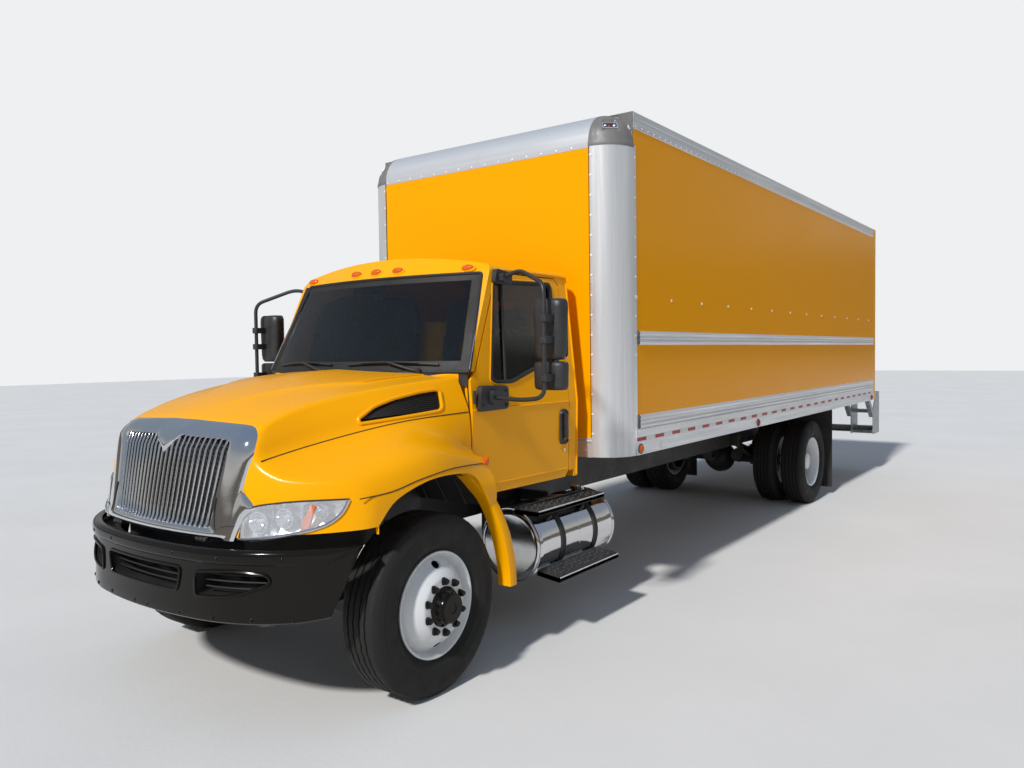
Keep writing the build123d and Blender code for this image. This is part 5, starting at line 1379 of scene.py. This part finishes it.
for x, s0, s1, z, wide, fall in ((925, 2039, 2900, 862, 200, 0), (1110, 2035, 2812, 470, 180, 22)):
    far = x + wide
    treads.prism([(x, z - 6), (far, z - 6 - fall), (far, z - 34 - fall), (far - 6, z - 34 - fall),
                  (far - 8, z + 4 - fall), (x + 8, z + 4), (x + 6, z - 34), (x, z - 34)], (s0, s1), "xz")
    treads.box((far - 2, far), (s0 + 2, s1 - 2), (z - 30 - fall, z + 2 - fall), 1)
    treads.box((x, x + 3), (s0 + 2, s1 - 2), (z - 8, z + 6), 1)
    for i in range(int((s1 - s0) / 52)):
        s = s0 + 30 + i * 52
        for j in range(int(wide / 46)):
            px = x + 32 + j * 46 + (i % 2) * 12
            under_cap = z > 800 and math.hypot(px - neck_x, s - neck_station) < 75
            if px < far - 18 and not under_cap:
                treads.turn([(0, 15), (5, 13), (5, 9), (-4, 8), (-4, 0.1)],
                            (px, s, z + 3 - fall * (px - x) / wide), UPWARD, 8)
piece("tank_straps", straps, [frame_black, black_parts_and_painted_shade], "chassis", ["tank_steps"], bevel=2)
piece("tank_treads", treads, [frame_black, chrome_dull], "chassis", bevel=1.5, crease=50)


# Cab inside: crowned seat cushions with piped seams, a shaped dashboard and the steering wheel
def power(value, share):
    """A power of a value that keeps the value's sign."""
    return math.copysign(abs(value) ** share, value)


def cushion(name, x_span, s_span, z_span, lean, crown, piping):
    """A stuffed cushion with soft edges; the lean moves it rearwards as it rises."""
    (x0, x1), (s0, s1), (z0, z1) = x_span, s_span, z_span
    cx, cs, cz = (x0 + x1) / 2, (s0 + s1) / 2, (z0 + z1) / 2
    hx, hs, hz = (x1 - x0) / 2, (s1 - s0) / 2, (z1 - z0) / 2
    shape = Shape()
    rows = []
    for i in range(21):
        tilt = -math.pi / 2 + math.pi * i / 20
        row = []
        for a in turns(56):
            dx = power(math.cos(tilt), 0.35) * power(math.cos(a), 0.4)
            ds = power(math.cos(tilt), 0.35) * power(math.sin(a), 0.4)
            dz = power(math.sin(tilt), 0.5)
            puff = (1 - dx * dx) * (1 - ds * ds) * crown[0] * (1 if dz > 0 else 0)
            front = (1 - dx * dx) * (1 - dz * dz) * crown[1] * (1 if ds < 0 else 0)
            quilt = 0.8 - 0.2 * math.cos(6 * math.pi * dx)
            z = cz + hz * dz * 0.98 + puff * quilt
            row.append((cx + hx * dx, cs + hs * ds - front * quilt + lean * (z - z0), z))
        rows.append(row)
    shape.skin(rows, around=True)
    for place in piping:
        ring = [(cx + hx * 1.002 * power(math.cos(a), 0.4), cs + hs * 1.002 * power(math.sin(a), 0.4)
                 + lean * (cz + hz * place - z0), cz + hz * place) for a in turns(56)]
        shape.tube(ring + ring[:1], 5, 6, 1)
    thing = piece(name, shape, [cloth, black_parts_and_painted_shade], "chassis", crease=60)
    return thing


bases = Shape()
for seat, x0, x1 in (("driver", 230, 730), ("bench", -780, 60)):
    middle = (x0 + x1) / 2
    seat_pad = cushion(f"{seat}_cushion", (x0 + 2, x1 - 2), (2080, 2540), (1352, 1462), 0, (14, 6),
                       (0.5, -0.5))
    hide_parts(f"{seat}_seat")
    cushion(f"{seat}_backrest", (x0 + 10, x1 - 10), (2462, 2552), (1470, 2070), 0.16, (4, 18), (0.0,))
    cushion(f"{seat}_headrest", (middle - 130, middle + 130), (2560, 2640), (2080, 2245), 0.08, (6, 10),
            (0.0,))
    bases.box((x0 + 60, x1 - 60), (2150, 2500), (1058, 1340))
    bases.box((x0 + 20, x1 - 20), (2110, 2530), (1330, 1362))
    for x in (x0 + 70, x1 - 100):
        bases.box((x, x + 30), (2120, 2540), (1300, 1332), 1)
    for x in (middle - 70, middle + 70):
        bases.tube([(x, 2545, 2040), (x, 2585, 2120)], 7, 8, 1)
piece("seat_bases", bases, [plastic, galvanised], "chassis", bevel=8)
shape = Shape()
dash_line = rounded([(1586, 1335), (1588, 1722), (1640, 1742), (1716, 1738), (1800, 1700), (1838, 1590),
                     (1828, 1520), (1800, 1352), (1740, 1338)], 34, 5)
shape.prism(dash_line, (-880, -600, -300, 0, 300, 600, 880), "sz")
hood_line = rounded([(1700, 1730), (1712, 1772), (1786, 1764), (1846, 1702), (1832, 1690), (1790, 1700)],
                    16, 4)
shape.prism(hood_line, (270, 300, 480, 660, 690), "sz")
shape.prism(rounded([(1780, 1390), (1846, 1400), (1850, 1560), (1796, 1590)], 12), (-130, 190), "sz")
for x in (-740, -420, 140, 800):
    for z in (1640, 1652, 1664, 1676):
        shape.box((x - 50, x + 50), (1812, 1824), (z - 3, z + 3), 1)
    shape.box((x - 58, x + 58), (1806, 1818), (1632, 1684), 1)
for x, size in ((400, 44), (520, 44), (330, 22), (600, 22)):
    shape.turn([(0, size), (-8, size), (-10, size - 4), (0, size - 6), (0, 0.1)],
               (x, 1822, 1700), (0, -0.75, -0.4), 28, 1)
    shape.tube([(x, 1830, 1702), (x + size * 0.5, 1828, 1702 + size * 0.5)], 1.6, 6, 2)
for i in range(5):
    shape.turn([(0, 12), (14, 11), (15, 0.1)], (-80 + i * 50, 1848, 1520), (0, 1, 0.1), 16, 1)
    shape.box((-98 + i * 50, -66 + i * 50), (1846, 1852), (1440, 1470), 1)
shape.box((-640, -260), (1826, 1832), (1430, 1560), 0)
piece("dashboard_top", shape, [dash, plastic, amber], "chassis", ["dashboard"],
      crease=35, bevel=2)
shape = Shape()
hub_spot, column = Vector((480, 1900, 1660)), Vector((0, 0.5, 0.866)).normalized()
ring = [(math.cos(t) * 14, 210 + math.sin(t) * 15) for t in turns(14)]
shape.turn(ring + ring[:1], hub_spot, column, 64)
shape.turn([(-26, 30), (-20, 58), (6, 62), (14, 54), (18, 30), (19, 0.1)], hub_spot, column, 40)
shape.turn([(-200, 25), (-60, 25), (-50, 38), (-20, 40), (-18, 30)], hub_spot, column, 32)
across = Vector((1, 0, 0))
down = column.cross(across)
for t in (0.15, math.pi - 0.15, -math.pi / 2):
    out = across * math.cos(t) + down * math.sin(t)
    wide = out.cross(column)
    shape.solid([[hub_spot + out * r + wide * w * a + column * (h * b - 4)
                  for a, b in ((-1, -1), (1, -1), (1, 1), (-1, 1))]
                 for r, w, h in ((45, 22, 9), (110, 15, 7), (206, 13, 7))])
for t in (1, -1):
    shape.tube([hub_spot - column * 90 + across * t * 30, hub_spot - column * 84 + across * t * 190
                + down * 20], [6, 9], 8)
piece("steering_wheel_rim", shape, [plastic], "chassis", ["steering_wheel"], bevel=3)

# Axles, springs and frame details under the truck, and the engine's covers under the hood
under, engine = Shape(), Shape()
front_spring = (350, 1690, 700, 196, 400, 38, 3)
rear_spring = (7225, 8625, 790, 150, 485, 39, 7)


def spring(side, s0, s1, top, drop, x, wide, count):
    """A stack of bowed leaves with two clamps and an eye at each end."""
    middle, length = (s0 + s1) / 2, s1 - s0
    for leaf in range(count):
        trim = leaf * length * 0.055
        rows = []
        for k in range(17):
            t = -1 + k / 8
            s = middle + t * (length / 2 - trim)
            z = top - drop * (1 - (t * (1 - trim / length * 2)) ** 2) - leaf * 13 - 8
            rows.append([(side * (x + dx), s, z + dz)
                         for dx, dz in ((-wide, 0), (wide, 0), (wide, -11), (-wide, -11))])
        under.solid(rows)
    low, high = top - drop - count * 13 - 40, top - drop + 50
    near, far = side * (x - wide - 9), side * (x + wide + 9)
    for s in (middle - 70, middle + 70):
        under.tube(bend([(near, s, low), (near, s, high), (far, s, high), (far, s, low)], 16), 8, 8)
    for s in (s0, s1):
        under.turn([(-wide - 6, 32), (wide + 6, 32), (wide + 6, 12), (wide + 14, 12), (wide + 14, 0.1)],
                   (side * x, s, top - 14), (side, 0, 0), 20)


for side in (1, -1):
    spring(side, *front_spring)
    spring(side, *rear_spring)
    for stations in (range(3100, 7100, 400), range(8800, 10500, 300)):
        dots(under, [(side * frame_rail_x, s, z) for s in stations for z in (780, 965)], (side, 0, 0),
             11, look=1)
    under.turn([(0, 0.1), (0, 110), (12, 122), (30, 128), (690, 128), (708, 122), (720, 110), (720, 0.1)],
               (side * 250, 3500, 850), REARWARD, 32)
    for s in (3640, 4060):
        under.turn([(-18, 131), (18, 131), (18, 128)], (side * 250, s, 850), REARWARD, 32, 1)
        under.box((side * 235, side * 265), (s - 18, s + 18), (970, 1004))
    for s, x in ((8120, 380), (1150, 560)):
        under.tube([(side * x, s, 480), (side * x, s + 60, 700)], 34, 16)
        under.tube([(side * x, s + 60, 700), (side * x * 0.95, s + 90, 880)], 24, 16, 1)
    under.turn([(0, 0.1), (0, 80), (60, 84), (66, 92), (74, 92), (80, 84), (150, 76), (156, 0.1)],
               (side * 350, 7760, 560), (0, -1, 0.1), 28)
for s in (2200, 4700, 7660):
    under.turn([(-44, 45), (-44, 66), (-20, 70), (20, 70), (44, 66), (44, 45)],
               (0, s, 820 - (s - 2200) * 0.02), REARWARD, 24)
under.turn([(-30, 202), (0, 212), (20, 205)], (0, rear_axle_station, hub_z), REARWARD, 40)
dots(under, [(205 * math.cos(t), 8120, hub_z + 150 * math.sin(t)) for t in turns(12)], REARWARD,
     12, look=1)
piece("running_gear_details", under, [frame_black, cast], "chassis", crease=38)
for x0, x1, s0, s1, z0, z1, look in ((-120, 120, 600, 1360, 1415, 1470, 0),
                                     (140, 236, 640, 1300, 1200, 1330, 1),
                                     (-250, -140, 600, 1200, 1120, 1220, 0)):
    plan = oblong((x0, x1), (s0, s1), 36)
    top = [(x + (x0 + x1) / 2 * 0.06 - x * 0.06, s) for x, s in plan]
    engine.solid([[(x, s, z) for x, s in line] for line, z in ((plan, z0), (plan, z1 - 8), (top, z1))], look)
for i in range(9):
    engine.box((-100, 100), (660 + i * 76, 674 + i * 76), (1466, 1480))
engine.turn([(0, 0.1), (0, 120), (20, 132), (380, 132), (400, 120), (440, 60), (500, 55), (500, 0.1)],
            (-480, 900, 1420), (0, 1, 0.05), 36, 2)
engine.box((-560, -400), (960, 1240), (1010, 1290), 2)
engine.turn([(-30, 40), (-30, 300), (30, 310), (30, 40)], (0, 520, 1150), REARWARD, 48, 2)
for t in turns(8):
    engine.skin([[(r * math.cos(t + dt), 500 + ds, 1150 + r * math.sin(t + dt)) for r in (50, 170, 290)]
                 for dt, ds in ((-0.14, 0), (0.14, 26))], look=2)
for x in range(-320, 321, 16):
    engine.box((x - 2, x + 2), (326, 330), (880, 1400), 1)
for z in (872, 1408):
    engine.box((-345, 345), (322, 402), (z - 14, z + 14), 0)
piece("engine_covers", engine, [cast, galvanised, plastic], "chassis", bevel=3, crease=40)


# Camera
camera_data = bpy.data.cameras.new("camera")
camera = bpy.data.objects.new("camera", camera_data)
bpy.context.collection.objects.link(camera)
camera.location = at(4137, -2328, 1915)
yaw, pitch, roll = math.radians(-36.38), math.radians(-2.23), math.radians(-0.79)
forward = Vector((math.sin(yaw) * math.cos(pitch), math.cos(yaw) * math.cos(pitch), math.sin(pitch)))
right = Vector((math.cos(yaw), -math.sin(yaw), 0))
up = right.cross(forward)
right, up = (right * math.cos(roll) + up * math.sin(roll), up * math.cos(roll) - right * math.sin(roll))
camera.rotation_euler = Matrix((right, up, -forward)).transposed().to_euler()
camera_data.sensor_width = 36
camera_data.lens = 808.5 / 1024 * 36
camera_data.clip_end = 200
bpy.context.scene.camera = camera

# Floor and light
floor_shape = Shape()
floor_shape.add([(-60000, -50000, 0), (60000, -50000, 0), (60000, 70000, 0), (-60000, 70000, 0)],
                [(0, 1, 2, 3)])
floor_look = finish("floor", (0.74, 0.72, 0.69), (0.69, 0.672, 0.64), 0.85, scale=0.5, grain=(30, 0.002),
                    Specular_IOR_Level=0.0)
floor = mesh_object("floor", floor_shape, [floor_look], 30)

world = bpy.data.worlds.new("world")
world.use_nodes = True
tree = world.node_tree
sky = tree.nodes["Background"]
fill(sky, Strength=0.52)
coords = new_node(tree, "TexCoord")
split = new_node(tree, "SeparateXYZ")
tree.links.new(coords.outputs["Generated"], split.inputs["Vector"])
levels = ((0.0, (0.3, 0.27, 0.23)), (0.1, (0.24, 0.22, 0.2)), (0.13, (0.95, 0.93, 0.88)),
          (0.3, (0.5, 0.58, 0.68)), (1.0, (0.36, 0.5, 0.74)))
tree.links.new(ramp(tree, split.outputs["Z"], levels), sky.inputs["Color"])
backdrop = new_node(tree, "Background", Color=(0.86, 0.87, 0.88, 1), Strength=1.0)
seen = new_node(tree, "LightPath")
mix = new_node(tree, "MixShader")
tree.links.new(seen.outputs["Is Camera Ray"], mix.inputs["Fac"])
tree.links.new(sky.outputs["Background"], mix.inputs[1])
tree.links.new(backdrop.outputs["Background"], mix.inputs[2])
tree.links.new(mix.outputs["Shader"], tree.nodes["World Output"].inputs["Surface"])
bpy.context.scene.world = world
sun_data = bpy.data.lights.new("sun", "SUN")
sun_data.energy = 3.3
sun_data.angle = math.radians(4)
sun = bpy.data.objects.new("sun", sun_data)
sun.rotation_euler = Vector((0.1, -1.2, 1.0)).to_track_quat("Z", "Y").to_euler()
bpy.context.collection.objects.link(sun)
bpy.context.scene.view_settings.view_transform = "Standard"
